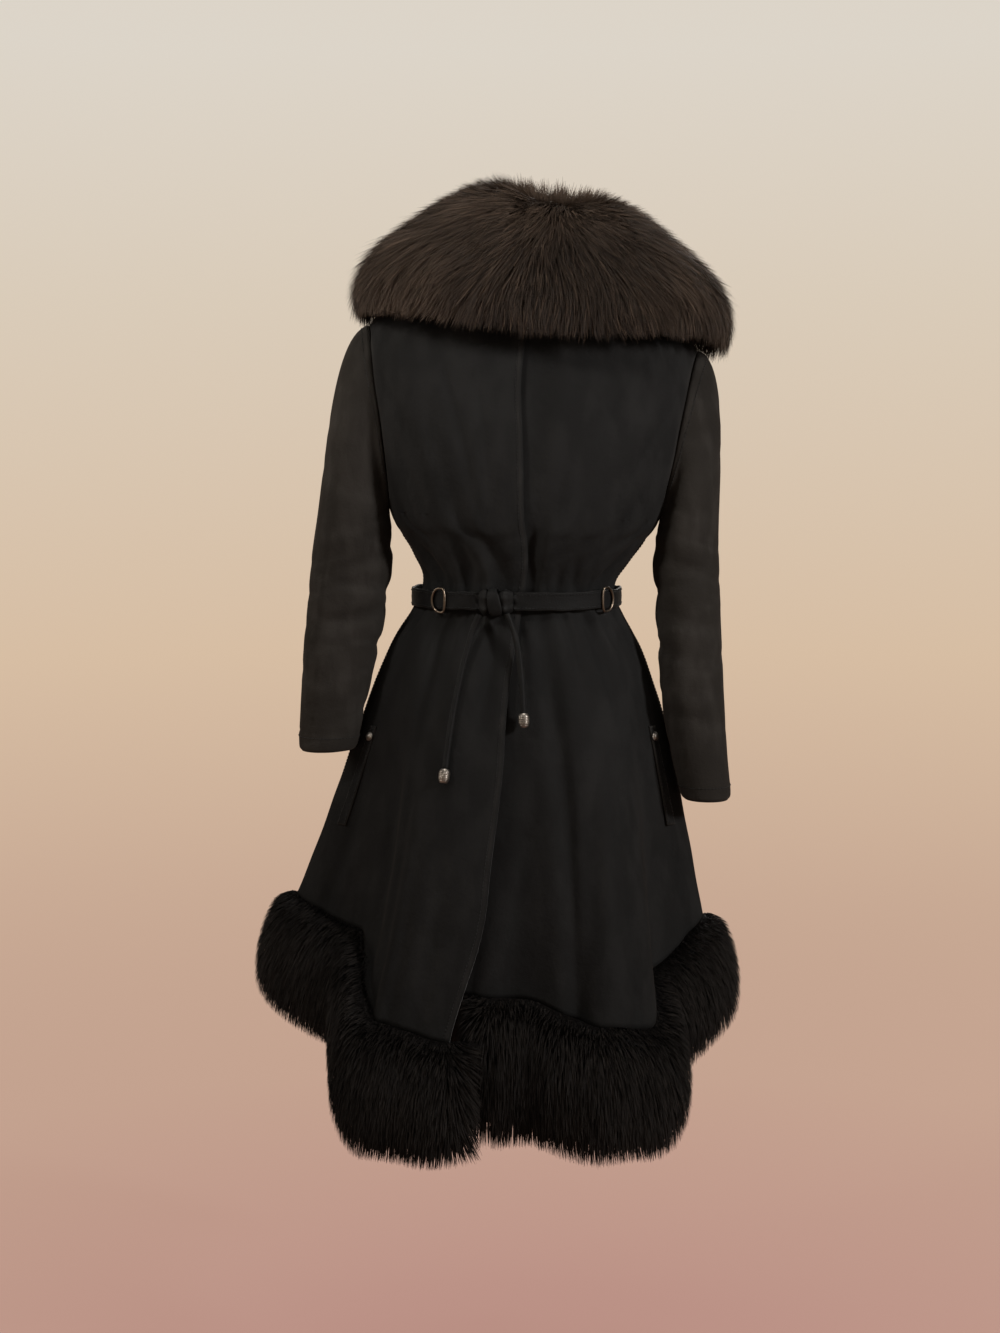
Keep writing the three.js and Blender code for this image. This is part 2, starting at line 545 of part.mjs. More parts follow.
function collarGrids() {
  const angles = steps(collarSlit.angle + collarSlit.half, collarSlit.angle + 360 - collarSlit.half, 38);
  const place = (angle, across, up) => {
    const [sin, cos] = [Math.sin(radians(angle)), Math.cos(radians(angle))];
    const deep = cos > 0 ? collar.front : collar.back;
    const rim = new THREE.Vector3(collar.rimShift + collar.rimRadius * sin, -collar.rimRadius * cos);
    const edge = new THREE.Vector3(
      collar.shift + collar.halfWidth * squared(sin, collar.power),
      -deep * squared(cos, collar.power),
    );
    const low = foldAt(collarHeights, angle, "edge");
    const high = foldAt(collarHeights, angle, "rim");
    return rim.lerp(edge, across).setZ(low + (high - low) * up);
  };
  const stand = (angle, in_, rise) => {
    const neck = bodyPoint(angle, 0);
    const radial = new THREE.Vector3(Math.sin(radians(angle)), -Math.cos(radians(angle)), 0);
    return neck.addScaledVector(radial, -in_).setZ(neck.z + rise);
  };
  const face = [angles.map((angle) => stand(angle, 12, 1)), angles.map((angle) => stand(angle, 14, 40))];
  const back = [angles.map((angle) => stand(angle, -5, 1)), angles.map((angle) => stand(angle, -7, 40))];
  for (const row of collarFall) {
    face.push(angles.map((angle) => place(angle, row.across, row.up)));
    const inAcross = (angle) => row.inAcross * (1 - 0.3 * Math.cos(radians(angle)) ** 2);
    back.push(angles.map((angle) => place(angle, inAcross(angle), row.inUp)));
  }
  return [face, back];
}
const [collarFace, collarBack] = collarGrids();
addPiece("collar", layeredSolid(collarFace, collarBack, false), longFur);

// ---- Waist belt, its knot, tails, beads and rings ----
const belt = { knotAngle: -11, knotHalf: 9.5 };

// The belt's frame at an angle: a point on its inner face's middle line, and the ways out and along.
function beltFrame(angle) {
  const at = (turn) => bodyPoint(turn, waistRow, hemFolds, 0, true);
  const along = at(angle + 3).sub(at(angle - 3)).setZ(0).normalize();
  const out = new THREE.Vector3(along.y, -along.x, 0);
  return { centre: at(angle).addScaledVector(out, beltClearance).setZ(waistHeight), out, along };
}

function beltSolid() {
  const half = beltHeight / 2;
  const angles = steps(belt.knotAngle + belt.knotHalf, belt.knotAngle + 360 - belt.knotHalf, 48);
  const rings = angles.map((angle) => {
    const { centre, out } = beltFrame(angle);
    const at = (off, up) => centre.clone().addScaledVector(out, off).setZ(waistHeight + up);
    return [at(0, -half), at(beltThickness, -half), at(beltThickness, half), at(0, half)];
  });
  return sweptSolid(rings);
}

// The knot: two lobes either side of the band that draws them together.
const knotSections = [
  { along: -1, half: 11, thick: 2.2 }, { along: -0.86, half: 14, thick: 6 },
  { along: -0.55, half: 18, thick: 10 }, { along: -0.3, half: 16, thick: 10 },
  { along: -0.24, half: 19, thick: 13 }, { along: 0.24, half: 18, thick: 13 },
  { along: 0.3, half: 15, thick: 10 }, { along: 0.55, half: 17, thick: 10 },
  { along: 0.86, half: 14, thick: 6 }, { along: 1, half: 11, thick: 2.2 },
];

function knotSolid() {
  const reach = belt.knotHalf - 0.22;
  const rings = knotSections.map((section) => {
    const { centre, out } = beltFrame(belt.knotAngle + section.along * reach);
    const middle = centre.addScaledVector(out, Math.max(beltThickness / 2, section.thick - 4));
    return steps(0, 360, 12).slice(0, -1).map((turn) =>
      middle
        .clone()
        .addScaledVector(out, section.thick * squared(Math.cos(radians(turn)), 2.6))
        .add(new THREE.Vector3(0, 0, -section.half * squared(Math.sin(radians(turn)), 2.6))),
    );
  });
  return sweptSolid(rings.map((ring) => [...ring].reverse()));
}
addPiece("belt", beltSolid(), strap);
addPiece("belt_knot", knotSolid(), strap);

// A tail hangs from the knot down the skirt: degrees round, height, and its middle's distance from the cloth.
const tailRoutes = {
  right: [
    { angle: -18.5, z: -425.5, off: 17 }, { angle: -21, z: -450, off: 11 }, { angle: -23, z: -500, off: 8 },
    { angle: -24, z: -560, off: 8 }, { angle: -24, z: -616, off: 8 },
  ],
  left: [
    { angle: -3.5, z: -424.6, off: 18 }, { angle: -1, z: -448, off: 14 }, { angle: 1, z: -480, off: 12 },
    { angle: 2, z: -515, off: 11 }, { angle: 2.5, z: -546, off: 10 },
  ],
};

// The skirt's place at an angle and a height, and the way out of it.
function skirtPlace(angle, z, folds) {
  let [low, high] = [waistRow, hemRow];
  for (let i = 0; i < 24; i++) {
    const middle = (low + high) / 2;
    if (bodyPoint(angle, middle, folds).z > z) low = middle;
    else high = middle;
  }
  const point = bodyPoint(angle, low, folds);
  const along = bodyPoint(angle + 1.5, low, folds).sub(bodyPoint(angle - 1.5, low, folds));
  const down = bodyPoint(angle, low + 0.2, folds).sub(bodyPoint(angle, low - 0.05, folds));
  return { point, out: down.cross(along).normalize(), row: low };
}

function tailCurve(route, folds) {
  const points = route.map(({ angle, z, off }) => {
    const { point, out } = skirtPlace(angle, z, folds);
    return point.addScaledVector(out, off);
  });
  return new THREE.CatmullRomCurve3(points);
}

function tailSolid(curve) {
  const section = new THREE.Shape();
  for (const turn of steps(0, 360, 8).slice(0, -1)) {
    const [x, y] = [Math.cos(radians(turn)), Math.sin(radians(turn))].map((v) => (v * tailDiameter) / 2);
    if (turn) section.lineTo(x, y);
    else section.moveTo(x, y);
  }
  section.closePath();
  const stepCount = Math.round(curve.getLength() / (tailDiameter * 2));
  return new THREE.ExtrudeGeometry(section, { steps: stepCount, extrudePath: curve, bevelEnabled: false });
}

// Turns a lathed piece so that its axis runs along a direction from a point.
function placed(geometry, point, direction) {
  const turn = new THREE.Quaternion().setFromUnitVectors(new THREE.Vector3(0, 1, 0), direction);
  return geometry.applyQuaternion(turn).translate(point.x, point.y, point.z);
}
const lathed = (profile, sides) =>
  new THREE.LatheGeometry(profile.map(([radius, height]) => new THREE.Vector2(radius, height)), sides);

function beadSolid(curve) {
  const [r, length] = [beadDiameter / 2, beadLength];
  const profile = [
    [0, 0], [r * 0.62, 0], [r * 0.9, 2.5], [r, length * 0.35],
    [r * 0.96, length * 0.7], [r * 0.6, length], [0, length],
  ];
  const direction = curve.getTangent(1);
  return placed(lathed(profile, 14), curve.getPoint(1).addScaledVector(direction, 0.3), direction);
}
const tails = { right: tailCurve(tailRoutes.right, wrapFolds), left: tailCurve(tailRoutes.left, hemFolds) };
for (const side of ["right", "left"]) {
  addPiece("tail_" + side, tailSolid(tails[side]), strap);
  addPiece("bead_" + side, beadSolid(tails[side]), nickel);
}

// A D-shaped ring lies flat on the belt near each side.
const dRing = { wire: 3.4, halfWidth: 13, halfHeight: 15.5 };
function ringSolid(angle) {
  const { centre, out, along } = beltFrame(angle);
  const middle = centre.addScaledVector(out, beltThickness + dRing.wire / 2 - 0.15);
  const rings = steps(0, 360, 20).slice(0, -1).map((turn) => {
    const [cos, sin] = [Math.cos(radians(turn)), Math.sin(radians(turn))];
    const wide = cos * Math.sign(angle) > 0 ? dRing.halfWidth * cos : dRing.halfWidth * squared(cos, 6) * 0.6;
    const way = new THREE.Vector3().addScaledVector(along, cos).add(new THREE.Vector3(0, 0, sin)).normalize();
    const rise = new THREE.Vector3(0, 0, dRing.halfHeight * sin);
    const point = middle.clone().addScaledVector(along, wide).add(rise);
    return steps(0, 360, 6).slice(0, -1).map((around) =>
      point
        .clone()
        .addScaledVector(way, (dRing.wire / 2) * Math.cos(radians(around)))
        .addScaledVector(out, (dRing.wire / 2) * Math.sin(radians(around))),
    );
  });
  return sweptSolid(rings, true);
}
addPiece("ring_right", ringSolid(-45), nickel);
addPiece("ring_left", ringSolid(56), nickel);

// ---- Side pockets: a raised welt with a stud at its top ----
const pocket = {
  top: -572, foot: -702, topAngle: 69, footAngle: 72, // heights, and degrees round from the front
  width: 4.2, // degrees
  thickness: 2.5, clear: 0.55, studBelow: 14,
};
const studProfile = [[0, 0], [0.78, 0], [0.82, 1], [1, 1.2], [0.95, 2.4], [0.6, 3.8], [0, 4.4]];
function pocketPieces(side) {
  const folds = side > 0 ? hemFolds : wrapFolds;
  const lift = pocket.clear + pocket.thickness;
  const grid = steps(0, 1, 7).map((t) => {
    const z = pocket.top + (pocket.foot - pocket.top) * t;
    const middle = side * (pocket.topAngle + (pocket.footAngle - pocket.topAngle) * t);
    return steps(middle - pocket.width / 2, middle + pocket.width / 2, 3).map((angle) => {
      const { point, out } = skirtPlace(angle, z, folds);
      return point.addScaledVector(out, lift);
    });
  });
  const { point, out } = skirtPlace(side * pocket.topAngle, pocket.top - pocket.studBelow, folds);
  const profile = studProfile.map(([radius, height]) => [(radius * studDiameter) / 2, height]);
  return [
    wallSolid(grid, pocket.thickness),
    placed(lathed(profile, 14), point.addScaledVector(out, lift + 0.4), out),
  ];
}
for (const [name, side] of [["right", -1], ["left", 1]]) {
  const [welt, stud] = pocketPieces(side);
  addPiece("pocket_welt_" + name, welt, suede);
  addPiece("pocket_stud_" + name, stud, nickel);
}

export default coat;
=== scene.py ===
"""A belted shearling coat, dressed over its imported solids.

Sizes in the tables are millimetres and degrees, as on a pattern sheet, and meshes are written in metres.
+Z is up, the coat's front faces -Y and the wearer's left is +X. Nobody is in the coat.
"""

import logging
import math
from dataclasses import dataclass, field
from enum import Enum
from typing import Any, Callable, NamedTuple, Sequence

import bmesh
import bpy
import numpy as np
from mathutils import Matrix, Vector


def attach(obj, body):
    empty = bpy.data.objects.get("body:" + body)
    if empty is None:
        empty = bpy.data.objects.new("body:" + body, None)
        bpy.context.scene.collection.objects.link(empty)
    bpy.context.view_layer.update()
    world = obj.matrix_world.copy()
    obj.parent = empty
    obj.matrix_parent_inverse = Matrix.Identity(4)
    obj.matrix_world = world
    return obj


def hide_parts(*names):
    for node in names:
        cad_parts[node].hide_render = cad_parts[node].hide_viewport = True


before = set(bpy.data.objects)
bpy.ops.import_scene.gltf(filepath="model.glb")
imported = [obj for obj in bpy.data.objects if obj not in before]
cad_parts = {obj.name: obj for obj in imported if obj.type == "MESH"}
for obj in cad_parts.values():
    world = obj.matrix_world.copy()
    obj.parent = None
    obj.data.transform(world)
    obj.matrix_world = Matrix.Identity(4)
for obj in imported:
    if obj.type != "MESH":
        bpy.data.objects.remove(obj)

LOG = logging.getLogger("shearling_coat")
MM = 0.001
UP = np.array([0.0, 0.0, 1.0])
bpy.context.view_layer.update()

Array = np.ndarray
Thing = bpy.types.Object
Material = bpy.types.Material
Node = bpy.types.Node
Socket = bpy.types.NodeSocket
Tree = bpy.types.NodeTree
Colour = tuple[float, float, float, float]
Stops = Sequence[tuple[float, tuple[float, ...]]]


class Slot(Enum):
    """The record's material slots."""

    SUEDE = "suede"
    FUR = "long_fur"
    STRAP = "strap"
    METAL = "nickel"


class Side(Enum):
    """The wearer's sides, with the sign of X on each."""

    RIGHT = -1
    LEFT = 1

    @property
    def word(self) -> str:
        """The side's name, as in the names of the pieces."""
        return self.name.lower()


# ---- Reading curves and tables ----


def smooth(share: Array) -> Array:
    """Eases a share from 0 to 1."""
    return share * share * (3 - 2 * share)


def clamp01(value: Array) -> Array:
    """Holds a value between 0 and 1."""
    return np.clip(value, 0.0, 1.0)


def unit(arrows: Array) -> Array:
    """Arrows of length 1."""
    return arrows / np.maximum(np.linalg.norm(arrows, axis=-1, keepdims=True), 1e-9)


def squared(value: Array, power: float) -> Array:
    """A sine or cosine, squared off for a superellipse section."""
    return np.sign(value) * np.abs(value) ** (2 / power)


def bump(away: Array, width: float) -> Array:
    """A soft hill of height 1, by the distance from its middle and its half width."""
    return np.exp(-((away / width) ** 2))


def circle(steps: int) -> Array:
    """Angles in radians, evenly round a circle."""
    return np.linspace(0, 2 * math.pi, steps, endpoint=False)


def radial(angle: Array) -> Array:
    """The level ways out from the coat's middle, at degrees from its front."""
    return np.stack([np.sin(np.radians(angle)), -np.cos(np.radians(angle)), np.zeros_like(angle)], axis=-1)


def half_turn(angle: Array) -> Array:
    """Degrees brought between -180 and 180."""
    return (angle + 180) % 360 - 180


def curve_at(values: Sequence[float], index: Array) -> Array:
    """Reads a Catmull-Rom curve through a list.

    Args:
        values: The numbers or points that the curve goes through.
        index: Fractional places in the list.

    Returns:
        The curve's values there.
    """
    values = np.asarray(values, float)
    index = np.asarray(index, float)
    first = np.clip(np.floor(index).astype(int), 0, len(values) - 2)
    a, b, c, d = (values[np.clip(first + k, 0, len(values) - 1)] for k in (-1, 0, 1, 2))
    t = index - first
    if values.ndim > 1:
        t = t[..., None]
    bend = (2 * a - 5 * b + 4 * c - d) * t**2 + (3 * b - a - 3 * c + d) * t**3
    return 0.5 * (2 * b + (c - a) * t + bend)


def lengths_along(points: Array, axis: int) -> Array:
    """Distances along a grid of points from its first row or column.

    Args:
        points: The points, with their coordinates last.
        axis: The axis to walk along.

    Returns:
        The distances walked at each point.
    """
    pieces = np.linalg.norm(np.diff(points, axis=axis), axis=-1)
    start = np.zeros_like(np.take(pieces, [0], axis=axis))
    return np.concatenate([start, np.cumsum(pieces, axis=axis)], axis=axis)


def flat_places(grid: Array) -> Array:
    """The places of a grid's points on its flat cut, across and up."""
    return np.stack([lengths_along(grid, 1), -lengths_along(grid, 0)], axis=-1)


def flat_size(grid: Array) -> tuple[float, float]:
    """A grid's greatest width and length along its face, in metres."""
    return float(lengths_along(grid, 1)[:, -1].max()) * MM, float(lengths_along(grid, 0)[-1].max()) * MM


def cell_area(grid: Array) -> float:
    """A grid's area in square metres."""
    down, along = grid[1:, :-1] - grid[:-1, :-1], grid[:-1, 1:] - grid[:-1, :-1]
    return float(np.linalg.norm(np.cross(down, along), axis=-1).sum()) * MM * MM


def closed(grid: Array) -> Array:
    """A grid that goes around, with its first column again at its end."""
    return np.concatenate([grid, grid[:, :1]], axis=1)


def cells(rows: int, columns: int) -> list[Array]:
    """The row and the column of each cell of a grid."""
    return [axis.ravel() for axis in np.meshgrid(np.arange(rows), np.arange(columns), indexing="ij")]


def grid_normals(grid: Array, around: bool = False) -> Array:
    """Normals of a grid, out of the side from which rows run down and columns run to the left.

    Args:
        grid: Rows by columns of points.
        around: Whether the last column comes before the first.

    Returns:
        A normal at each point.
    """
    down = np.gradient(grid, axis=0)
    if around:
        along = np.roll(grid, -1, axis=1) - np.roll(grid, 1, axis=1)
    else:
        along = np.gradient(grid, axis=1)
    return unit(np.cross(down, along))


# ---- Meshes in the making ----


def set_down(name: str, data: Any) -> Thing:
    """Makes an object of its data, in the scene."""
    made = bpy.data.objects.new(name, data)
    bpy.context.scene.collection.objects.link(made)
    return made


@dataclass
class Surface:
    """A mesh in the making.

    Attributes:
        points: Points in millimetres.
        faces: The points of each face.
        finishes: The number of each face's finish.
        uvs: A UV place in metres for each corner of each face.
        values: Named numbers or arrows for each point.
    """

    points: Array
    faces: list[list[int]]
    finishes: list[int]
    uvs: Array
    values: dict[str, Array] = field(default_factory=dict)

    def build(self, name: str, materials: Sequence[Material], outwards: bool = False) -> Thing:
        """Makes the object.

        Args:
            name: The piece's name.
            materials: Its finishes.
            outwards: Whether to turn its faces outwards, for a closed body.

        Returns:
            The object, in the scene.
        """
        mesh = bpy.data.meshes.new(name)
        mesh.from_pydata((self.points * MM).tolist(), [], self.faces)
        for material in materials:
            mesh.materials.append(material)
        mesh.polygons.foreach_set("material_index", self.finishes)
        mesh.polygons.foreach_set("use_smooth", [True] * len(self.faces))
        mesh.uv_layers.new(name="cut").data.foreach_set("uv", self.uvs.astype(np.float32).ravel())
        for word, numbers in self.values.items():
            kind, key = ("FLOAT_VECTOR", "vector") if numbers.ndim > 1 else ("FLOAT", "value")
            attribute = mesh.attributes.new(word, kind, "POINT")
            attribute.data.foreach_set(key, numbers.astype(np.float32).ravel())
        if outwards:
            shape = bmesh.new()
            shape.from_mesh(mesh)
            bmesh.ops.recalc_face_normals(shape, faces=shape.faces)
            shape.to_mesh(mesh)
            shape.free()
        mesh.validate()
        return set_down(name, mesh)


def shell(
    outer: Array,
    inner: Array,
    uv: Array,
    around: bool = False,
    values: dict[str, Array] | None = None,
) -> Surface:
    """Closes two grids of points into a wall. Its finishes are 0 outside, 1 inside and 2 at its edges.

    Args:
        outer: The outer face, rows by columns.
        inner: The inner face, the same way.
        uv: Places on the flat cut in millimetres, with one more column where the wall goes around.
        around: Whether the last column joins the first.
        values: Named numbers for each point of a face.

    Returns:
        The closed wall.
    """
    rows, columns = outer.shape[:2]
    last = columns if around else columns - 1
    i, j = cells(rows - 1, last)
    bands = [
        ([(i, j, 0), (i + 1, j, 0), (i + 1, j + 1, 0), (i, j + 1, 0)], 0),
        ([(i, j, 1), (i, j + 1, 1), (i + 1, j + 1, 1), (i + 1, j, 1)], 1),
    ]
    across, down = np.arange(last), np.arange(rows - 1)
    for row, way in ((0, 1), (rows - 1, -1)):
        level = np.full(last, row)
        steps = [(level, across, 0), (level, across + 1, 0), (level, across + 1, 1), (level, across, 1)]
        bands.append((steps[::way], 2))
    for column, way in () if around else ((0, 1), (columns - 1, -1)):
        side = np.full(rows - 1, column)
        steps = [(down, side, 0), (down, side, 1), (down + 1, side, 1), (down + 1, side, 0)]
        bands.append((steps[::way], 2))
    faces, finishes, places = [], [], []
    for steps, finish in bands:
        numbers = [(layer * rows + row) * columns + column % columns for row, column, layer in steps]
        faces += np.stack(numbers, axis=-1).tolist()
        finishes += [finish] * len(numbers[0])
        places.append(np.stack([uv[row, column] for row, column, _ in steps], axis=-2).reshape(-1, 2))
    doubled = {word: np.concatenate([numbers.ravel()] * 2) for word, numbers in (values or {}).items()}
    points = np.concatenate([outer.reshape(-1, 3), inner.reshape(-1, 3)])
    return Surface(points, faces, finishes, np.concatenate(places) * MM, doubled)


def tube(rings: Array, joined: bool = False) -> Surface:
    """A closed body swept through rings of points.

    Args:
        rings: Rings by points.
        joined: Whether the last ring joins the first, instead of both ends being capped.

    Returns:
        The body, whose faces still have to be turned outwards.
    """
    count, sides = rings.shape[:2]
    spans = count if joined else count - 1
    i, j = cells(spans, sides)
    start, end, far = i * sides, ((i + 1) % count) * sides, (j + 1) % sides
    faces = np.stack([start + j, end + j, end + far, start + far], axis=-1).tolist()
    length = lengths_along(np.concatenate([rings, rings[:1]]), 0)[:, 0]
    girth = float(np.linalg.norm(np.roll(rings[count // 2], -1, axis=0) - rings[count // 2], axis=-1).sum())
    turn = girth / sides
    corners = [(j * turn, length[i]), (j * turn, length[i + 1]), ((j + 1) * turn, length[i + 1])]
    corners.append(((j + 1) * turn, length[i]))
    uvs = np.stack([np.stack(corner, axis=-1) for corner in corners], axis=1).reshape(-1, 2)
    points = rings.reshape(-1, 3)
    if not joined:
        for ring, first in ((rings[0], 0), (rings[-1], (count - 1) * sides)):
            middle = len(points)
            points = np.concatenate([points, ring.mean(axis=0, keepdims=True)])
            faces += [[middle, first + k, first + (k + 1) % sides] for k in range(sides)]
            uvs = np.concatenate([uvs, np.zeros((3 * sides, 2))])
    return Surface(points, faces, [0] * len(faces), uvs * MM)


def lathe(profile: Sequence[tuple[float, float]], sides: int, at: Array, axis: Array) -> Surface:
    """A body turned about an axis.

    Args:
        profile: Radii and heights up the axis, ending on the axis at both ends.
        sides: Steps round the axis.
        at: The foot of the axis.
        axis: Its direction.

    Returns:
        The body, whose faces still have to be turned outwards.
    """
    helper = UP if abs(axis[2]) < 0.9 else np.array([1.0, 0.0, 0.0])
    first = unit(np.cross(axis, helper))
    second = np.cross(axis, first)
    turns = circle(sides)[:, None]
    around = np.cos(turns) * first + np.sin(turns) * second
    smallest = 0.02
    rings = np.array([at + axis * height + around * max(radius, smallest) for radius, height in profile])
    return tube(rings)


def dress(piece: Thing, replaced: Sequence[str] = ()) -> Thing:
    """Ties a finished piece to the frame.

    Args:
        piece: The piece.
        replaced: The CAD nodes that it stands for.

    Returns:
        The piece.
    """
    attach(piece, "root")
    if replaced:
        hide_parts(*replaced)
    triangles = sum(len(face.vertices) - 2 for face in piece.data.polygons)
    LOG.info("%s: %d triangles", piece.name, triangles)
    return piece


def lay_flat(piece: Thing, grid: Array) -> None:
    """Args:
        piece: The sheet.
        grid: Its face, with the first column again at the end where it goes around.
    """
    width, length = flat_size(grid)
    area = min(cell_area(grid), width * length)
    LOG.info("%s: flat %.3f x %.3f m, %.4f m2", piece.name, width, length, area)


# ---- Node trees written as expressions ----


def both_ways(operation: str) -> tuple[Callable[..., "Number"], Callable[..., "Number"]]:
    """An operator of Number and its reflected form.

    Args:
        operation: The Math node that they add.

    Returns:
        The two methods.
    """

    def plain(self: "Number", other: Any) -> "Number":
        """The number first."""
        return self.graph.maths(operation, self, other)

    def reflected(self: "Number", other: Any) -> "Number":
        """The number last."""
        return self.graph.maths(operation, other, self)

    return plain, reflected


@dataclass
class Number:
    """A number in a node tree. Its operators add the Math nodes that they stand for."""

    graph: "Graph"
    socket: Socket

    __add__, __radd__ = both_ways("ADD")
    __sub__, __rsub__ = both_ways("SUBTRACT")
    __mul__, __rmul__ = both_ways("MULTIPLY")
    __truediv__, __rtruediv__ = both_ways("DIVIDE")
    __pow__, __rpow__ = both_ways("POWER")

    def sine(self) -> "Number":
        """The sine, of radians."""
        return self.graph.maths("SINE", self)

    def clamped(self) -> "Number":
        """Held between 0 and 1."""
        return self.graph.maths("ADD", self, 0.0, clamp=True)

    def between(self, low: float, high: float) -> "Number":
        """0 at low, 1 at high, eased and held beyond them."""
        settings = {"interpolation_type": "SMOOTHSTEP", "clamp": True}
        return self.graph.number("ShaderNodeMapRange", settings, {0: self, 1: low, 2: high})


@dataclass
class Arrow:
    """A vector in a node tree. Its operators add the Vector Math nodes that they stand for."""

    graph: "Graph"
    socket: Socket

    def __add__(self, other: "Arrow") -> "Arrow":
        """The sum."""
        return self.graph.vectors("ADD", self, other)

    def __sub__(self, other: "Arrow") -> "Arrow":
        """The difference."""
        return self.graph.vectors("SUBTRACT", self, other)

    def __mul__(self, other: Any) -> "Arrow":
        """The arrow made longer or shorter by a number, or side by side with a triple of numbers."""
        if isinstance(other, tuple):
            return self.graph.vectors("MULTIPLY", self, other)
        return self.graph.arrow("ShaderNodeVectorMath", {"operation": "SCALE"}, {0: self, "Scale": other})

    __rmul__ = __mul__

    def cross(self, other: "Arrow") -> "Arrow":
        """The arrow square to both."""
        return self.graph.vectors("CROSS_PRODUCT", self, other)

    def unit(self) -> "Arrow":
        """The arrow of length 1."""
        return self.graph.vectors("NORMALIZE", self)

    def length(self) -> Number:
        """The arrow's length."""
        return self.graph.number("ShaderNodeVectorMath", {"operation": "LENGTH"}, {0: self}, 1)


class Graph:
    """A node tree that is written from Python."""

    def __init__(self, tree: Tree) -> None:
        """Wraps a tree."""
        self.tree = tree

    def add(self, kind: str, settings: dict[str, Any], values: dict[Any, Any]) -> Node:
        """Adds a node.

        Args:
            kind: The node's type.
            settings: Its properties, which are set first. A ramp's stops are under "stops".
            values: Values or links of its input sockets, by name or number.

        Returns:
            The node.
        """
        node = self.tree.nodes.new(kind)
        for word, setting in settings.items():
            if word == "stops":
                self._set_stops(node.color_ramp, setting)
            else:
                setattr(node, word, setting)
        for key, value in values.items():
            by_number = isinstance(key, int)
            socket = node.inputs[key] if by_number else next(s for s in node.inputs if s.name == key and s.enabled)
            self.feed(socket, value)
        return node

    def number(self, kind: str, settings: dict[str, Any], values: dict[Any, Any], output: Any = 0) -> Number:
        """Adds a node and reads one of its outputs as a number."""
        return Number(self, self.add(kind, settings, values).outputs[output])

    def arrow(self, kind: str, settings: dict[str, Any], values: dict[Any, Any], output: Any = 0) -> Arrow:
        """Adds a node and reads one of its outputs as an arrow."""
        return Arrow(self, self.add(kind, settings, values).outputs[output])

    def feed(self, socket: Socket, value: Any) -> None:
        """Links a socket to an expression or another socket, or sets its value.

        Args:
            socket: The input.
            value: An expression, a socket or a plain value.
        """
        if isinstance(value, (Number, Arrow)):
            value = value.socket
        if isinstance(value, Socket):
            self.tree.links.new(value, socket)
        else:
            socket.default_value = value

    @staticmethod
    def _set_stops(ramp: bpy.types.ColorRamp, stops: Stops) -> None:
        """Gives a colour ramp its stops.

        Args:
            ramp: The ramp.
            stops: Its places and colours.
        """
        while len(ramp.elements) < len(stops):
            ramp.elements.new(0.5)
        for element, (place, colour) in zip(ramp.elements, stops):
            element.position = place
            element.color = colour

    def maths(self, operation: str, *values: Any, clamp: bool = False) -> Number:
        """A Math node on numbers."""
        settings = {"operation": operation, "use_clamp": clamp}
        return self.number("ShaderNodeMath", settings, dict(enumerate(values)))

    def vectors(self, operation: str, *values: Any) -> Arrow:
        """A Vector Math node on vectors."""
        return self.arrow("ShaderNodeVectorMath", {"operation": operation}, dict(enumerate(values)))


# ---- Finishes ----


class Skin(Graph):
    """A material with a principled shader, and the patterns that the finishes share."""

    def __init__(self, name: str, shader: dict[str, Any]) -> None:
        """Makes the material.

        Args:
            name: The material's name.
            shader: The shader's constant values, by socket.
        """
        self.material = bpy.data.materials.new(name)
        self.material.use_nodes = True
        super().__init__(self.material.node_tree)
        self.paint(shader)
        self.place = self.arrow("ShaderNodeTexCoord", {}, {}, "Object")

    def paint(self, values: dict[str, Any]) -> Material:
        """Sets or links the shader's sockets, by name, and returns the material."""
        for word, value in values.items():
            self.feed(self.tree.nodes["Principled BSDF"].inputs[word], value)
        return self.material

    def noise(self, per_metre: float, detail: float = 2.0, stretch: tuple[float, ...] | None = None) -> Number:
        """Cloudy noise from 0 to 1, by its grains in a metre."""
        place = self.place * stretch if stretch else self.place
        values = {"Vector": place, "Scale": per_metre, "Detail": detail, "Roughness": 0.55}
        return self.number("ShaderNodeTexNoise", {}, values)

    def cells(self, per_metre: float) -> Number:
        """Distance to the nearest of scattered points, by their number in a metre."""
        return self.number("ShaderNodeTexVoronoi", {}, {"Vector": self.place, "Scale": per_metre}, "Distance")

    def value(self, word: str) -> Number:
        """A piece's own attribute."""
        return self.number("ShaderNodeAttribute", {"attribute_name": word}, {}, "Fac")

    def ramp(self, by: Number, stops: Stops) -> Socket:
        """A colour read off a ramp."""
        return self.add("ShaderNodeValToRGB", {"stops": stops}, {"Fac": by}).outputs["Color"]

    def mix(self, share: Number, first: Any, second: Any) -> Socket:
        """One colour laid over another."""
        settings = {"data_type": "RGBA", "clamp_factor": True}
        return self.add("ShaderNodeMix", settings, {0: share, 6: first, 7: second}).outputs[2]

    def relief(self, *layers: tuple[Number, float]) -> Socket:
        """Stacked bumps, each a height from 0 to 1 and its depth in metres.

        Returns:
            The normals that the finish takes.
        """
        below: dict[Any, Any] = {}
        for height, depth in layers:
            values = {"Strength": 1.0, "Distance": depth, "Height": height, **below}
            below = {"Normal": self.add("ShaderNodeBump", {}, values).outputs[0]}
        return below["Normal"]


def grey(level: float, warmth: float = 0.0) -> Colour:
    """A linear colour near grey, warmer or cooler by a share."""
    return (level * (1 + warmth), level, level * (1 - warmth), 1.0)


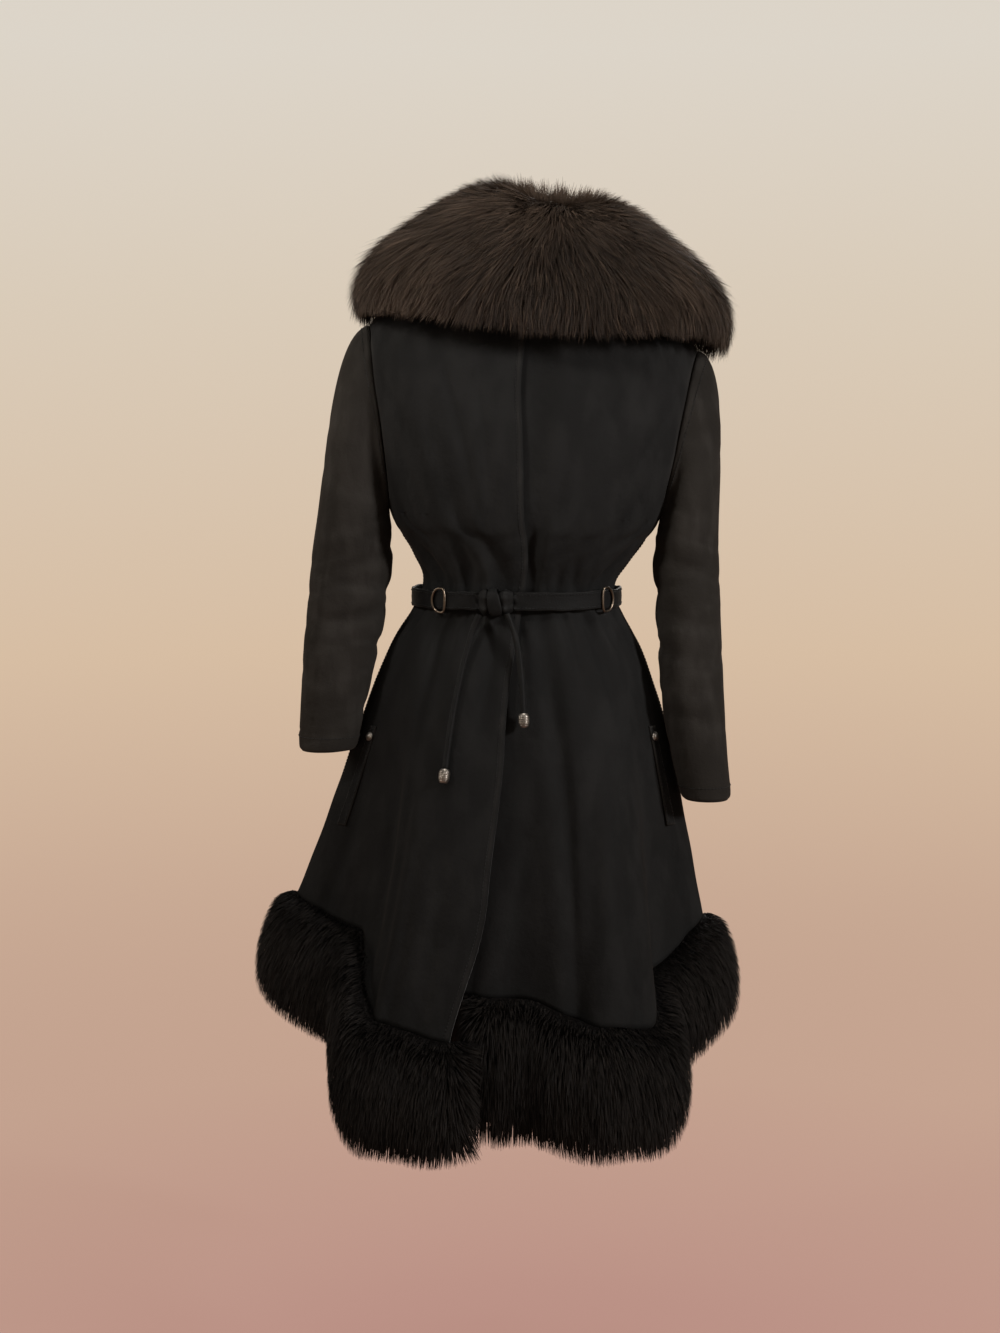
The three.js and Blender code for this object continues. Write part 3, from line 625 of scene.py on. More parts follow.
@dataclass(frozen=True)
class SuedeFinish:
    """Brushed black suede: cloudy nap, finger marks, fine fibres, rubbed edges and ridges."""

    name: str = "suede"
    base: float = 0.0062
    brushed: float = 0.0085
    rubbed: float = 0.022
    warmth: float = 0.01
    sheen: float = 0.02

    def material(self) -> Material:
        """Makes the material.

        Returns:
            The material.
        """
        shader = {"Sheen Weight": self.sheen, "Sheen Roughness": 0.38, "Specular IOR Level": 0.0}
        skin = Skin(self.name, {**shader, "Sheen Tint": (0.62, 0.5, 0.42, 1.0)})
        clouds = skin.noise(7.0, 3.0).between(0.36, 0.66)
        marks = skin.noise(38.0, 3.0, (1.0, 1.0, 0.35)).between(0.42, 0.62)
        fibres = skin.noise(950.0)
        dark = skin.mix(clouds * 0.5, grey(self.base, self.warmth), grey(self.brushed, self.warmth))
        nap = skin.mix(marks * 0.22, dark, grey(self.brushed * 1.5, self.warmth))
        flecks = skin.mix(fibres.between(0.5, 0.8) * 0.25, nap, grey(self.brushed * 1.9, self.warmth))
        worn = (skin.value("rubbed") * (0.55 + marks * 0.6)).clamped() * 0.55
        relief = skin.relief((skin.noise(46.0), 0.0012), (skin.noise(240.0), 0.0004), (fibres, 0.00022))
        rough = 0.97 - clouds * 0.07 - marks * 0.05
        colour = skin.mix(worn, flecks, grey(self.rubbed, 0.08))
        return skin.paint({"Base Color": colour, "Roughness": rough, "Normal": relief})


@dataclass(frozen=True)
class WoolFinish:
    """The clipped wool of the inside and of cut edges: dark tight curls with paler tips."""

    root: float = 0.003
    tip: float = 0.011

    def material(self) -> Material:
        """Makes the material.

        Returns:
            The material.
        """
        shader = {"Sheen Weight": 0.12, "Sheen Roughness": 0.5, "Specular IOR Level": 0.08, "Roughness": 0.95}
        skin = Skin("clipped_wool", shader)
        fluff = skin.noise(420.0, 3.0)
        height = (1.0 - skin.cells(170.0) * 1.4) * 0.7 + fluff * 0.3
        colour = skin.mix(height.between(0.35, 0.85), grey(self.root, 0.1), grey(self.tip, 0.12))
        return skin.paint({"Base Color": colour, "Normal": skin.relief((height, 0.003), (fluff, 0.0006))})


@dataclass(frozen=True)
class FurFinish:
    """Long silky hair: dark at the root, browner towards the tip, each hair a little different, and darker where
    painted shade falls on it.
    """

    name: str
    root: Colour
    middle: Colour
    tip: Colour
    gloss: float

    def material(self) -> Material:
        """Makes the material.

        Returns:
            The material.
        """
        skin = Skin(self.name, {"Specular IOR Level": self.gloss})
        along, luck = skin.value("along"), skin.value("luck")
        length = skin.ramp(along, [(0.0, self.root), (0.55, self.middle), (1.0, self.tip)])
        clouds = skin.noise(11.0).between(0.35, 0.68)
        # painted shade: each hair is pulled towards the root colour by its random tone, and also by the pelt's painted
        # shade
        tone_and_painted_shade = skin.mix(((1.0 - luck) * 0.5 + skin.value("shade") * 0.6).clamped(), length, self.root)
        warm = tuple(channel * factor for channel, factor in zip(self.tip, (1.3, 1.22, 1.15, 1.0)))
        odd = skin.mix(luck.between(0.86, 0.99) * along * 0.6, tone_and_painted_shade, warm)
        return skin.paint({"Base Color": skin.mix(clouds * 0.35, odd, self.root), "Roughness": 0.46 + luck * 0.2})


@dataclass(frozen=True)
class StrapFinish:
    """Smooth dark leather with a fine grain, paler where it bends."""

    base: float = 0.003
    worn: float = 0.0058

    def material(self) -> Material:
        """Makes the material.

        Returns:
            The material.
        """
        skin = Skin("strap_leather", {"Specular IOR Level": 0.045})
        creases = skin.noise(95.0, 4.0)
        rubbed = (skin.value("rubbed") * (0.4 + creases)).clamped()
        tone = skin.mix(creases.between(0.3, 0.7) * 0.5, grey(self.base), grey(self.base * 1.8, 0.04))
        colour = skin.mix(rubbed * 0.7, tone, grey(self.worn, 0.08))
        rough = 0.5 + creases * 0.22 - rubbed * 0.08
        relief = skin.relief((creases, 0.0006), (skin.cells(620.0), 0.00022))
        return skin.paint({"Base Color": colour, "Roughness": rough, "Normal": relief})


@dataclass(frozen=True)
class NickelFinish:
    """Worn nickel: brushed, dented, with dark tarnish in the hollows."""

    name: str = "worn_nickel"
    bright: Colour = (0.2, 0.18, 0.158, 1.0)
    tarnish: Colour = (0.04, 0.035, 0.03, 1.0)

    def material(self) -> Material:
        """Makes the material.

        Returns:
            The material.
        """
        skin = Skin(self.name, {"Metallic": 1.0})
        patches = skin.noise(130.0, 3.0).between(0.42, 0.7)
        scratches = skin.noise(900.0, 2.0, (0.15, 1.0, 1.0))
        dulled = (patches * 0.45 + skin.value("hollow") * 0.7).clamped()
        rough = 0.26 + dulled * 0.3 + scratches * 0.12
        relief = skin.relief((skin.noise(300.0), 0.0003), (scratches, 0.00006))
        colour = skin.mix(dulled, self.bright, self.tarnish)
        return skin.paint({"Base Color": colour, "Roughness": rough, "Normal": relief})


@dataclass(frozen=True)
class ThreadFinish:
    """Waxed black sewing thread."""

    colour: float = 0.0065

    def material(self) -> Material:
        """Makes the material.

        Returns:
            The material.
        """
        skin = Skin("thread", {"Specular IOR Level": 0.12})
        twist = skin.noise(1400.0, 1.0)
        colour = skin.mix(twist, grey(self.colour * 0.7), grey(self.colour * 1.6))
        return skin.paint({"Base Color": colour, "Roughness": 0.55 + twist * 0.2})


def made_of(finish: Any) -> Any:
    """A field that holds a finish's material."""
    return field(default_factory=finish.material)


COLLAR_HAIR = FurFinish(
    "collar_fur", (0.0065, 0.0046, 0.0035, 1), (0.025, 0.0173, 0.0125, 1), (0.043, 0.0298, 0.0215, 1), 0.04
)
HEM_HAIR = FurFinish(
    "hem_fur", (0.0022, 0.0019, 0.0018, 1), (0.0076, 0.0066, 0.006, 1), (0.0145, 0.0125, 0.0113, 1), 0.02
)


@dataclass
class Wardrobe:
    """Every finish of the coat, made once."""

    suede: Material = made_of(SuedeFinish())
    # painted light: the sleeves take a lighter, warmer copy of the coat's suede, standing in for the light that they
    # catch
    sleeve_suede: Material = made_of(
        SuedeFinish("sleeve_suede", base=0.0074, brushed=0.0104, warmth=0.12, sheen=0.03)
    )
    wool: Material = made_of(WoolFinish())
    collar_fur: Material = made_of(COLLAR_HAIR)
    hem_fur: Material = made_of(HEM_HAIR)
    strap: Material = made_of(StrapFinish())
    nickel: Material = made_of(NickelFinish())
    dark_nickel: Material = made_of(
        NickelFinish("dark_nickel", (0.085, 0.066, 0.05, 1), (0.02, 0.016, 0.013, 1))
    )
    thread: Material = made_of(ThreadFinish())


# ---- Trees that grow hair and sew ----


def grow(name: str, tree: Tree, mesh: bpy.types.Mesh, settings: dict[str, Any]) -> Thing:
    """Runs a Geometry Nodes tree on a mesh and keeps what it makes.

    Args:
        name: The new piece's name.
        tree: The tree.
        mesh: What it starts from, which is left as it is.
        settings: The tree's named inputs.

    Returns:
        The plain mesh object, in the scene.
    """
    holder = set_down(name + "_start", mesh)
    modifier = holder.modifiers.new("growth", "NODES")
    modifier.node_group = tree
    for item in tree.interface.items_tree:
        if item.item_type == "SOCKET" and item.in_out == "INPUT" and item.name in settings:
            modifier[item.identifier] = settings[item.name]
    graph = bpy.context.evaluated_depsgraph_get()
    made = bpy.data.meshes.new_from_object(holder.evaluated_get(graph), depsgraph=graph)
    made.name = name
    made.polygons.foreach_set("use_smooth", [True] * len(made.polygons))
    holder.modifiers.clear()
    bpy.data.objects.remove(holder)
    return set_down(name, made)


class GrowthGraph(Graph):
    """A Geometry Nodes tree with named inputs."""

    def __init__(self, name: str, inputs: Sequence[tuple[str, str]]) -> None:
        """Makes the tree.

        Args:
            name: The tree's name.
            inputs: The name and kind of each input beside the geometry.
        """
        super().__init__(bpy.data.node_groups.new(name, "GeometryNodeTree"))
        face = self.tree.interface
        face.new_socket("Geometry", in_out="INPUT", socket_type="NodeSocketGeometry")
        face.new_socket("Geometry", in_out="OUTPUT", socket_type="NodeSocketGeometry")
        for word, kind in inputs:
            face.new_socket(word, in_out="INPUT", socket_type="NodeSocket" + kind)
        self.start = self.add("NodeGroupInput", {}, {})

    def given(self, word: str) -> Number:
        """One of the tree's inputs."""
        return Number(self, self.start.outputs[word])

    def named(self, word: str, kind: str) -> Any:
        """A named attribute."""
        wrap = self.arrow if kind == "FLOAT_VECTOR" else self.number
        return wrap("GeometryNodeInputNamedAttribute", {"data_type": kind}, {"Name": word})

    def store(self, geometry: Any, word: str, value: Any, kind: str) -> Socket:
        """Stores a named attribute on points."""
        settings = {"data_type": kind, "domain": "POINT"}
        values = {"Geometry": geometry, "Name": word, "Value": value}
        return self.add("GeometryNodeStoreNamedAttribute", settings, values).outputs[0]

    def chance(self, low: float, high: float, seed: int) -> Number:
        """A random number for each element."""
        values = {"Min": low, "Max": high, "Seed": seed}
        node = self.add("FunctionNodeRandomValue", {"data_type": "FLOAT"}, values)
        return Number(self, next(s for s in node.outputs if s.enabled))

    def chance_arrow(self, size: float, seed: int) -> Arrow:
        """A random arrow for each element, in a cube either side of nothing."""
        values = {"Min": (-size,) * 3, "Max": (size,) * 3, "Seed": seed}
        node = self.add("FunctionNodeRandomValue", {"data_type": "FLOAT_VECTOR"}, values)
        return Arrow(self, next(s for s in node.outputs if s.enabled))

    def finish(self, geometry: Any, material: Number) -> Tree:
        """Gives the result its material and ends the tree."""
        dressed = self.add("GeometryNodeSetMaterial", {}, {"Geometry": geometry, "Material": material})
        self.add("NodeGroupOutput", {}, {"Geometry": dressed.outputs[0]})
        return self.tree


def fur_tree() -> Tree:
    """The tree that grows hair in locks on a pelt.

    The pelt's points name how far each hair reaches (reach) and how thickly it grows (cover). Each hair is a
    narrow tapered blade that leaves the skin outwards, bends over, and is drawn towards its lock's middle hair.

    Returns:
        The tree.
    """
    words = [("Hairs", "Float"), ("Locks", "Float"), ("Stand", "Float"), ("Gather", "Float"), ("Ragged", "Float")]
    words += [("Width", "Float"), ("Bends", "Int"), ("Wave", "Float"), ("Seed", "Int"), ("Finish", "Material")]
    graph = GrowthGraph("fur_in_locks", words)
    cover = graph.named("cover", "FLOAT")
    place = graph.arrow("GeometryNodeInputPosition", {}, {})
    reach = graph.named("reach", "FLOAT_VECTOR")
    seed = graph.given("Seed")
    skin = graph.given("Geometry")

    def scattered(amount: str, shift: int) -> Node:
        """Points spread over the skin."""
        values = {"Mesh": skin, "Density": graph.given(amount) * cover, "Seed": seed + shift}
        settings = {"distribute_method": "RANDOM"}
        return graph.add("GeometryNodeDistributePointsOnFaces", settings, values)

    hairs = scattered("Hairs", 0)
    locks = scattered("Locks", 31)
    nearest = graph.add("GeometryNodeSampleNearest", {"domain": "POINT"}, {"Geometry": locks.outputs["Points"]})

    def at_lock(value: Arrow) -> Arrow:
        """A value at the middle hair of a hair's lock."""
        settings = {"data_type": "FLOAT_VECTOR", "domain": "POINT"}
        values = {"Geometry": locks.outputs["Points"], "Value": value, "Index": nearest.outputs[0]}
        return graph.arrow("GeometryNodeSampleIndex", settings, values)

    ragged = graph.given("Ragged")
    stray = reach.length() * ragged
    own_tip = place + reach * (1.0 - ragged * graph.chance(0.0, 1.0, 3))
    lock_end = place + reach * (1.0 - ragged * graph.chance(-0.6, 0.8, 5)) + graph.chance_arrow(1.0, 6) * stray
    lock_tip = at_lock(lock_end)
    drawn = graph.given("Gather") * graph.chance(0.5, 1.2, 8)
    tip = own_tip + (lock_tip - own_tip) * drawn + graph.chance_arrow(0.45, 9) * stray

    points = graph.store(hairs.outputs["Points"], "root", place, "FLOAT_VECTOR")
    points = graph.store(points, "out", Arrow(graph, hairs.outputs["Normal"]), "FLOAT_VECTOR")
    points = graph.store(points, "tip", tip, "FLOAT_VECTOR")
    points = graph.store(points, "luck", graph.chance(0.0, 1.0, 11), "FLOAT")
    points = graph.store(points, "tilt", graph.chance_arrow(0.55, 12), "FLOAT_VECTOR")

    blade = graph.add("GeometryNodeMeshGrid", {}, {"Size X": 1.0, "Size Y": 1.0, "Vertices X": 2})
    graph.feed(blade.inputs["Vertices Y"], graph.given("Bends") + 1)
    parts = graph.add("ShaderNodeSeparateXYZ", {}, {0: place})
    strip = graph.store(blade.outputs["Mesh"], "side", Number(graph, parts.outputs[0]), "FLOAT")
    strip = graph.store(strip, "along", Number(graph, parts.outputs[1]) + 0.5, "FLOAT")
    laid = graph.add("GeometryNodeInstanceOnPoints", {}, {"Points": points, "Instance": strip})
    real = graph.add("GeometryNodeRealizeInstances", {}, {0: laid.outputs[0]})

    root, out, end, tilt = (graph.named(word, "FLOAT_VECTOR") for word in ("root", "out", "tip", "tilt"))
    along, side, luck = (graph.named(word, "FLOAT") for word in ("along", "side", "luck"))
    left = 1.0 - along
    elbow = root + out * ((end - root).length() * graph.given("Stand"))
    line = root * (left * left) + elbow * (left * along * 2.0) + end * (along * along)
    heading = (elbow - root) * left + (end - elbow) * along
    across = heading.cross(out + tilt).unit()
    wave = (along * 8.0 + luck * 40.0).sine() * graph.given("Wave") * along
    breadth = graph.given("Width") * (0.65 + luck * 0.7) * (1.0 - along ** 3.0 * 0.88)
    moved = line + across * (side * breadth + wave)
    shaped = graph.add("GeometryNodeSetPosition", {}, {"Geometry": real.outputs[0], "Position": moved})
    geometry: Any = shaped.outputs[0]
    for word in ("root", "out", "tip", "tilt", "side", "reach", "cover"):
        geometry = graph.add("GeometryNodeRemoveAttribute", {}, {"Geometry": geometry, "Name": word}).outputs[0]
    return graph.finish(geometry, graph.given("Finish"))


def stitch_tree() -> Tree:
    """The tree that lays stitches along lines.

    Returns:
        The tree.
    """
    words = [("Pitch", "Float"), ("Length", "Float"), ("Thread", "Float"), ("Finish", "Material")]
    graph = GrowthGraph("stitches_along", words)
    line = graph.add("GeometryNodeMeshToCurve", {}, {"Mesh": graph.given("Geometry")})
    spacing = {"Curve": line.outputs[0], "Length": graph.given("Pitch")}
    even = graph.add("GeometryNodeResampleCurve", {"mode": "LENGTH"}, spacing)
    heading = graph.arrow("GeometryNodeInputTangent", {}, {})
    turned = graph.add("FunctionNodeAlignRotationToVector", {"axis": "Z"}, {"Vector": heading})
    cone = {"Vertices": 4, "Side Segments": 1, "Radius Top": 0.4, "Radius Bottom": 0.5, "Depth": 1.0}
    body = graph.add("GeometryNodeMeshCone", {"fill_type": "TRIANGLE_FAN"}, cone)
    thread = graph.given("Thread")
    size = graph.add("ShaderNodeCombineXYZ", {}, {0: thread, 1: thread, 2: graph.given("Length")})
    values = {"Points": even.outputs[0], "Instance": body.outputs["Mesh"], "Rotation": turned.outputs[0]}
    laid = graph.add("GeometryNodeInstanceOnPoints", {}, {**values, "Scale": size.outputs[0]})
    real = graph.add("GeometryNodeRealizeInstances", {}, {0: laid.outputs[0]})
    return graph.finish(real.outputs[0], graph.given("Finish"))


@dataclass
class Sewing:
    """The needle: stitches along lines on the cloth."""

    tree: Tree
    thread: Material
    pitch: float = 4.6
    length: float = 3.3
    diameter: float = 0.9

    def stitch(self, name: str, lines: Sequence[Array]) -> Thing:
        """Sews along lines.

        Args:
            name: The piece's name.
            lines: Points of each line, in millimetres.

        Returns:
            The stitches, as one piece.
        """
        mesh = bpy.data.meshes.new(name + "_lines")
        points = np.concatenate(lines)
        edges, first = [], 0
        for line in lines:
            edges += [(first + k, first + k + 1) for k in range(len(line) - 1)]
            first += len(line)
        mesh.from_pydata((points * MM).tolist(), edges, [])
        sizes = {"Pitch": self.pitch * MM, "Length": self.length * MM, "Thread": self.diameter * MM}
        piece = grow(name, self.tree, mesh, {**sizes, "Finish": self.thread})
        bpy.data.meshes.remove(mesh)
        return dress(piece)


# ---- The form of the coat ----


class Section(NamedTuple):
    """A row of the coat's body. Its place is a height, or in the skirt a share of the way to the hem."""

    place: float
    half_width: float
    front: float
    back: float
    drop: float
    power: float
    shift: float
    roll: float


class Fold(NamedTuple):
    """A crest or trough of the flared hem: its angle, how far it reaches, and the hem's height there."""

    angle: float
    reach: float
    hem: float


class Crease(NamedTuple):
    """A soft trough along a path of (degrees, row). It deepens towards the belt, or fades away from it."""

    path: tuple[tuple[float, float], ...]
    width: float
    depth: float
    fades: bool = False


def named(kind: type, *rows: tuple) -> tuple:
    """A table of rows whose columns are named by their kind."""
    return tuple(kind(*row) for row in rows)


BELT_ROW = 11.0
TORSO = named(Section,
    (12, 66, 60, 60, 34, 2, 4, 4.5),
    (-6, 92, 72, 74, 26, 2, 0, 4.5),
    (-22, 134, 82, 88, 18, 2.1, -4, 4.5),
    (-44, 196, 90, 98, 10, 2.3, -8, 4.5),
    (-62, 216, 98, 104, 4, 2.4, -10, 4.5),
    (-120, 220, 114, 113, 0, 2.5, -15, 4.4),
    (-200, 206, 129, 117, 0, 2.4, -17, 3.6),
    (-297, 178, 127, 112, 0, 2.3, -21, 1.8),
    (-326, 161, 120, 107, 0, 2.2, -22, 1.2),
    (-352, 144, 111, 100, 0, 2.1, -23, 0.7),
    (-380, 128, 100, 93, 0, 2.1, -27, 0.3),
    (-405, 128, 96, 90, 0, 2.1, -32, 0),
)
SKIRT = named(Section,
    (0.05, 139, 102, 97, 0, 2.1, -32, 0),
    (0.17, 166, 121, 117, 0, 2.1, -33, 0),
    (0.34, 190, 141, 141, 0, 2.1, -34, 0),
    (0.51, 208, 159, 161, 0, 2.1, -37, 0),
    (0.68, 224, 176, 179, 0, 2.1, -41, 0),
    (0.85, 240, 192, 196, 0, 2.1, -46, 0),
    (1, 255, 206, 210, 0, 2.1, -52, 0),
)
SIDE_AND_BACK_FOLDS = named(Fold,
    (58, -26, -882),
    (84, 14, -828),
    (110, -24, -862),
    (136, 24, -915),
    (160, -24, -912),
    (184, 26, -930),
    (206, -24, -905),
    (229, 22, -895),
    (252, -22, -845),
    (275, 17, -798),
    (307, -30, -828),
)
WRAP_FOLDS = named(Fold, (-33, 27, -928), (-12, 28, -946), (42, 0, -940)) + SIDE_AND_BACK_FOLDS
HEM_FOLDS = named(Fold, (-30, -8, -888), (6, -27, -903), (27, 22, -933), (42, 23, -942)) + SIDE_AND_BACK_FOLDS
WRAP_EDGE = ((0, -3), (5, -1.5), (11, 3), (14, -3.8), (16, -6.2), (18, -12.5))
CREASES = named(Crease,
    (((-38, 4.6), (-30, 6.5), (-18, 8.2), (-8, 11)), 15, 5),
    (((26, 4.4), (15, 5.9), (3, 7.4), (8, 11)), 14, 5.5),
    (((-33, 7.3), (-31, 9), (-33, 11)), 12, 5),
    (((18, 8.8), (21, 9.8), (23, 11)), 9, 3.5),
    (((24, 8.2), (30, 9.6), (36, 11)), 10, 4),
    (((-62, 7.8), (-56, 9.4), (-52, 11)), 11, 4),
    (((64, 7.7), (57, 9.3), (52, 11)), 11, 4),
    (((118, 8), (124, 9.6), (128, 11)), 12, 4),
    (((140, 6.8), (148, 9), (150, 11)), 12, 4.5),
    (((168, 7.6), (166, 9.4), (168, 11)), 11, 4.5),
    (((194, 7.2), (190, 9.2), (187, 11)), 12, 4.5),
    (((222, 6.9), (214, 9), (209, 11)), 13, 4.5),
    (((246, 8), (239, 9.6), (234, 11)), 11, 4),
    (((-33, 11), (-36, 12.6), (-38, 15)), 13, 5, True),
    (((-9, 11), (-10, 12.4), (-14, 14.5)), 11, 4, True),
    (((12, 11), (13, 13), (18, 16)), 14, 5, True),
    (((36, 11), (43, 12.6), (50, 15)), 13, 4.5, True),
    (((30, 13.6), (26, 15.6), (21, 18.2)), 15, 6),
    (((-50, 13.4), (-46, 15.4), (-43, 17.9)), 17, 7),
    (((-20, 14.2), (-21, 15.6), (-22, 18.2)), 14, 3.5),
    (((128, 11), (122, 12.6), (116, 15)), 13, 4.5, True),
    (((151, 11), (156, 13), (160, 15.5)), 14, 5, True),
    (((187, 11), (184, 12.4), (180, 14)), 11, 3.5, True),
    (((209, 11), (208, 13), (208, 15.5)), 14, 5, True),
    (((234, 11), (244, 12.6), (252, 15)), 13, 4.5, True),
)
# Finer creases, which only the cloth's own surface has: gathers at the belt, pulls from the armholes and folds.
FINE_CREASES = named(Crease,
    (((-46, 9.3), (-43, 10.2), (-42, 11)), 5, 2.4),
    (((-24, 9.0), (-22, 10.1), (-22, 11)), 5.5, 2.6),
    (((-15, 9.6), (-13, 10.4), (-13, 11)), 4.5, 2.0),
    (((-2, 9.4), (-1, 10.3), (-1, 11)), 4.5, 2.0),
    (((12, 9.7), (15, 10.4), (16, 11)), 4.5, 2.2),
    (((44, 9.0), (45, 10.1), (44, 11)), 6, 2.6),
    (((70, 9.2), (68, 10.2), (66, 11)), 6, 2.4),
    (((-74, 9.0), (-70, 10.1), (-68, 11)), 6, 2.4),
    (((100, 9.2), (103, 10.1), (106, 11)), 6, 2.4),
    (((136, 9.2), (138, 10.2), (139, 11)), 5.5, 2.2),
    (((158, 9.4), (160, 10.3), (160, 11)), 5, 2.0),
    (((176, 9.1), (177, 10.2), (177, 11)), 5.5, 2.4),
    (((201, 9.3), (199, 10.2), (198, 11)), 5, 2.2),
    (((226, 9.2), (223, 10.2), (221, 11)), 5.5, 2.4),
    (((257, 9.2), (253, 10.1), (250, 11)), 6, 2.4),
    (((-43, 11), (-45, 12.0), (-48, 13.4)), 6, 2.6, True),
    (((-26, 11), (-27, 11.9), (-29, 13.2)), 6, 2.6, True),
    (((-18, 11), (-19, 11.8), (-20, 12.9)), 5, 2.2, True),
    (((1, 11), (1, 11.9), (0, 13.2)), 5.5, 2.4, True),
    (((22, 11), (25, 12.0), (29, 13.6)), 6.5, 2.8, True),
    (((30, 11), (33, 11.8), (36, 12.8)), 5.5, 2.2, True),
    (((47, 11), (53, 12.0), (60, 13.6)), 7, 2.8, True),
    (((62, 11), (68, 12.0), (74, 13.4)), 6.5, 2.6, True),
    (((-58, 11), (-64, 12.0), (-70, 13.6)), 7, 2.8, True),
    (((-70, 11), (-77, 12.0), (-83, 13.4)), 6.5, 2.4, True),
    (((108, 11), (104, 12.0), (99, 13.6)), 7, 2.6, True),
    (((140, 11), (140, 12.0), (139, 13.4)), 6, 2.4, True),
    (((171, 11), (171, 12.0), (171, 13.6)), 6.5, 2.6, True),
    (((198, 11), (195, 12.0), (193, 13.4)), 6, 2.4, True),
    (((222, 11), (227, 12.0), (232, 13.6)), 6.5, 2.6, True),
    (((246, 11), (257, 12.0), (266, 13.6)), 7, 2.6, True),
    (((-59, 5.0), (-47, 5.9), (-36, 7.2)), 8, 2.6, True),
    (((-57, 5.9), (-44, 7.0), (-33, 8.3)), 7, 2.4, True),
    (((-64, 6.7), (-50, 8.0), (-41, 9.2)), 7, 2.6, True),
    (((58, 4.9), (45, 5.8), (32, 7.2)), 8, 2.8, True),
    (((57, 5.9), (43, 7.0), (31, 8.2)), 7, 2.6, True),
    (((64, 6.8), (50, 8.0), (40, 9.4)), 7, 2.4, True),
    (((32, 4.5), (22, 5.8), (12, 7.4), (11, 9)), 7, 2.4, True),
    (((-26, 4.6), (-20, 6.2), (-11, 8.0)), 7, 2.2, True),
    (((-13, 5.0), (-12, 6.4), (-8, 7.6)), 8, 1.6, True),
    (((126, 5.4), (138, 6.6), (148, 8.2)), 8, 2.4, True),
    (((233, 5.6), (222, 6.8), (211, 8.3)), 8, 2.4, True),
    (((174, 4.6), (176, 6.0), (175, 7.2)), 9, 1.8, True),
    (((-5, 14.0), (-7, 15.8), (-10, 18.2)), 10, 2.6),
    (((36, 14.6), (37, 16.2), (38, 18.2)), 10, 2.8),
    (((-29, 14.8), (-30, 16.4), (-30, 18.2)), 9, 2.4),
    (((-62, 14.2), (-66, 16.0), (-70, 18.2)), 11, 3.0),
    (((70, 14.4), (72, 16.2), (74, 18.2)), 11, 3.0),
    (((146, 14.6), (146, 16.2), (147, 18.2)), 11, 3.0),
    (((172, 14.8), (171, 16.4), (171, 18.2)), 10, 2.6),
    (((196, 14.4), (197, 16.2), (198, 18.2)), 11, 2.8),
    (((238, 14.6), (240, 16.2), (241, 18.2)), 11, 2.8),
    (((6, 12.2), (4, 14.6), (2, 18.2)), 18, 6),
    (((15, 12.6), (18, 15.2), (20, 18.2)), 11, 8.5),
    (((28, 12.8), (30, 15.2), (31, 18.2)), 20, -5),
    (((-22, 12.8), (-22, 15.2), (-22, 18.2)), 22, -3),
    (((-40, 13.0), (-38, 15.4), (-37, 18.2)), 12, 6.5),
    (((-10, 4.4), (-15, 6.2), (-21, 8.4), (-18, 10.6)), 13, -2.4),
    (((27, 4.2), (17, 6.0), (9, 8.2), (3, 10.6)), 14, -2.8),
    (((46, 7.4), (38, 9.0), (33, 11)), 10, -2.0),
    (((-46, 7.2), (-40, 9.0), (-37, 11)), 10, -1.8),
)


def fold_at(folds: Sequence[Fold], angle: Array, word: str) -> Array:
    """A fold table's reach or hem height at an angle, eased from each crest to the next trough.

    Args:
        folds: The table, in the order of its angles.
        angle: Degrees from the front, towards the wearer's left.
        word: The column to read.

    Returns:
        The column's values at the angles.
    """
    first = folds[0].angle
    angles = np.array([fold.angle for fold in folds] + [first + 360.0])
    values = np.array([getattr(fold, word) for fold in (*folds, folds[0])], float)
    turned = (np.asarray(angle, float) - first) % 360 + first
    index = np.clip(np.searchsorted(angles, turned, side="right") - 1, 0, len(folds) - 1)
    share = smooth((turned - angles[index]) / (angles[index + 1] - angles[index]))
    return values[index] + (values[index + 1] - values[index]) * share


def trough_depth(creases: Sequence[Crease], angle: Array, row: Array, radius: Array) -> Array:
    """How deep a table of creases is.

    Args:
        creases: The table.
        angle: Degrees of the places.
        row: Their rows.
        radius: The body's half width there, in millimetres.

    Returns:
        The depth at each place, in millimetres.
    """
    swell, taper = 1.6, 6
    depth = np.zeros(np.shape(angle))
    for crease in creases:
        turns, rows = np.array(crease.path).T
        inside = (row > rows[0]) & (row <= rows[-1])
        index = np.clip(np.searchsorted(rows, row) - 1, 0, len(rows) - 2)
        share = (row - rows[index]) / (rows[index + 1] - rows[index])
        middle = curve_at(turns, index + clamp01(share))
        across = np.radians(half_turn(angle - middle)) * radius / crease.width
        along = (row - rows[0]) / (rows[-1] - rows[0])
        strength = smooth(clamp01((1 - along if crease.fades else along) * swell))
        ends = smooth(clamp01(along * taper)) if crease.fades and rows[0] < BELT_ROW else 1.0
        depth += np.where(inside, crease.depth * ends * np.exp(-(across**2)) * strength, 0)
    return depth


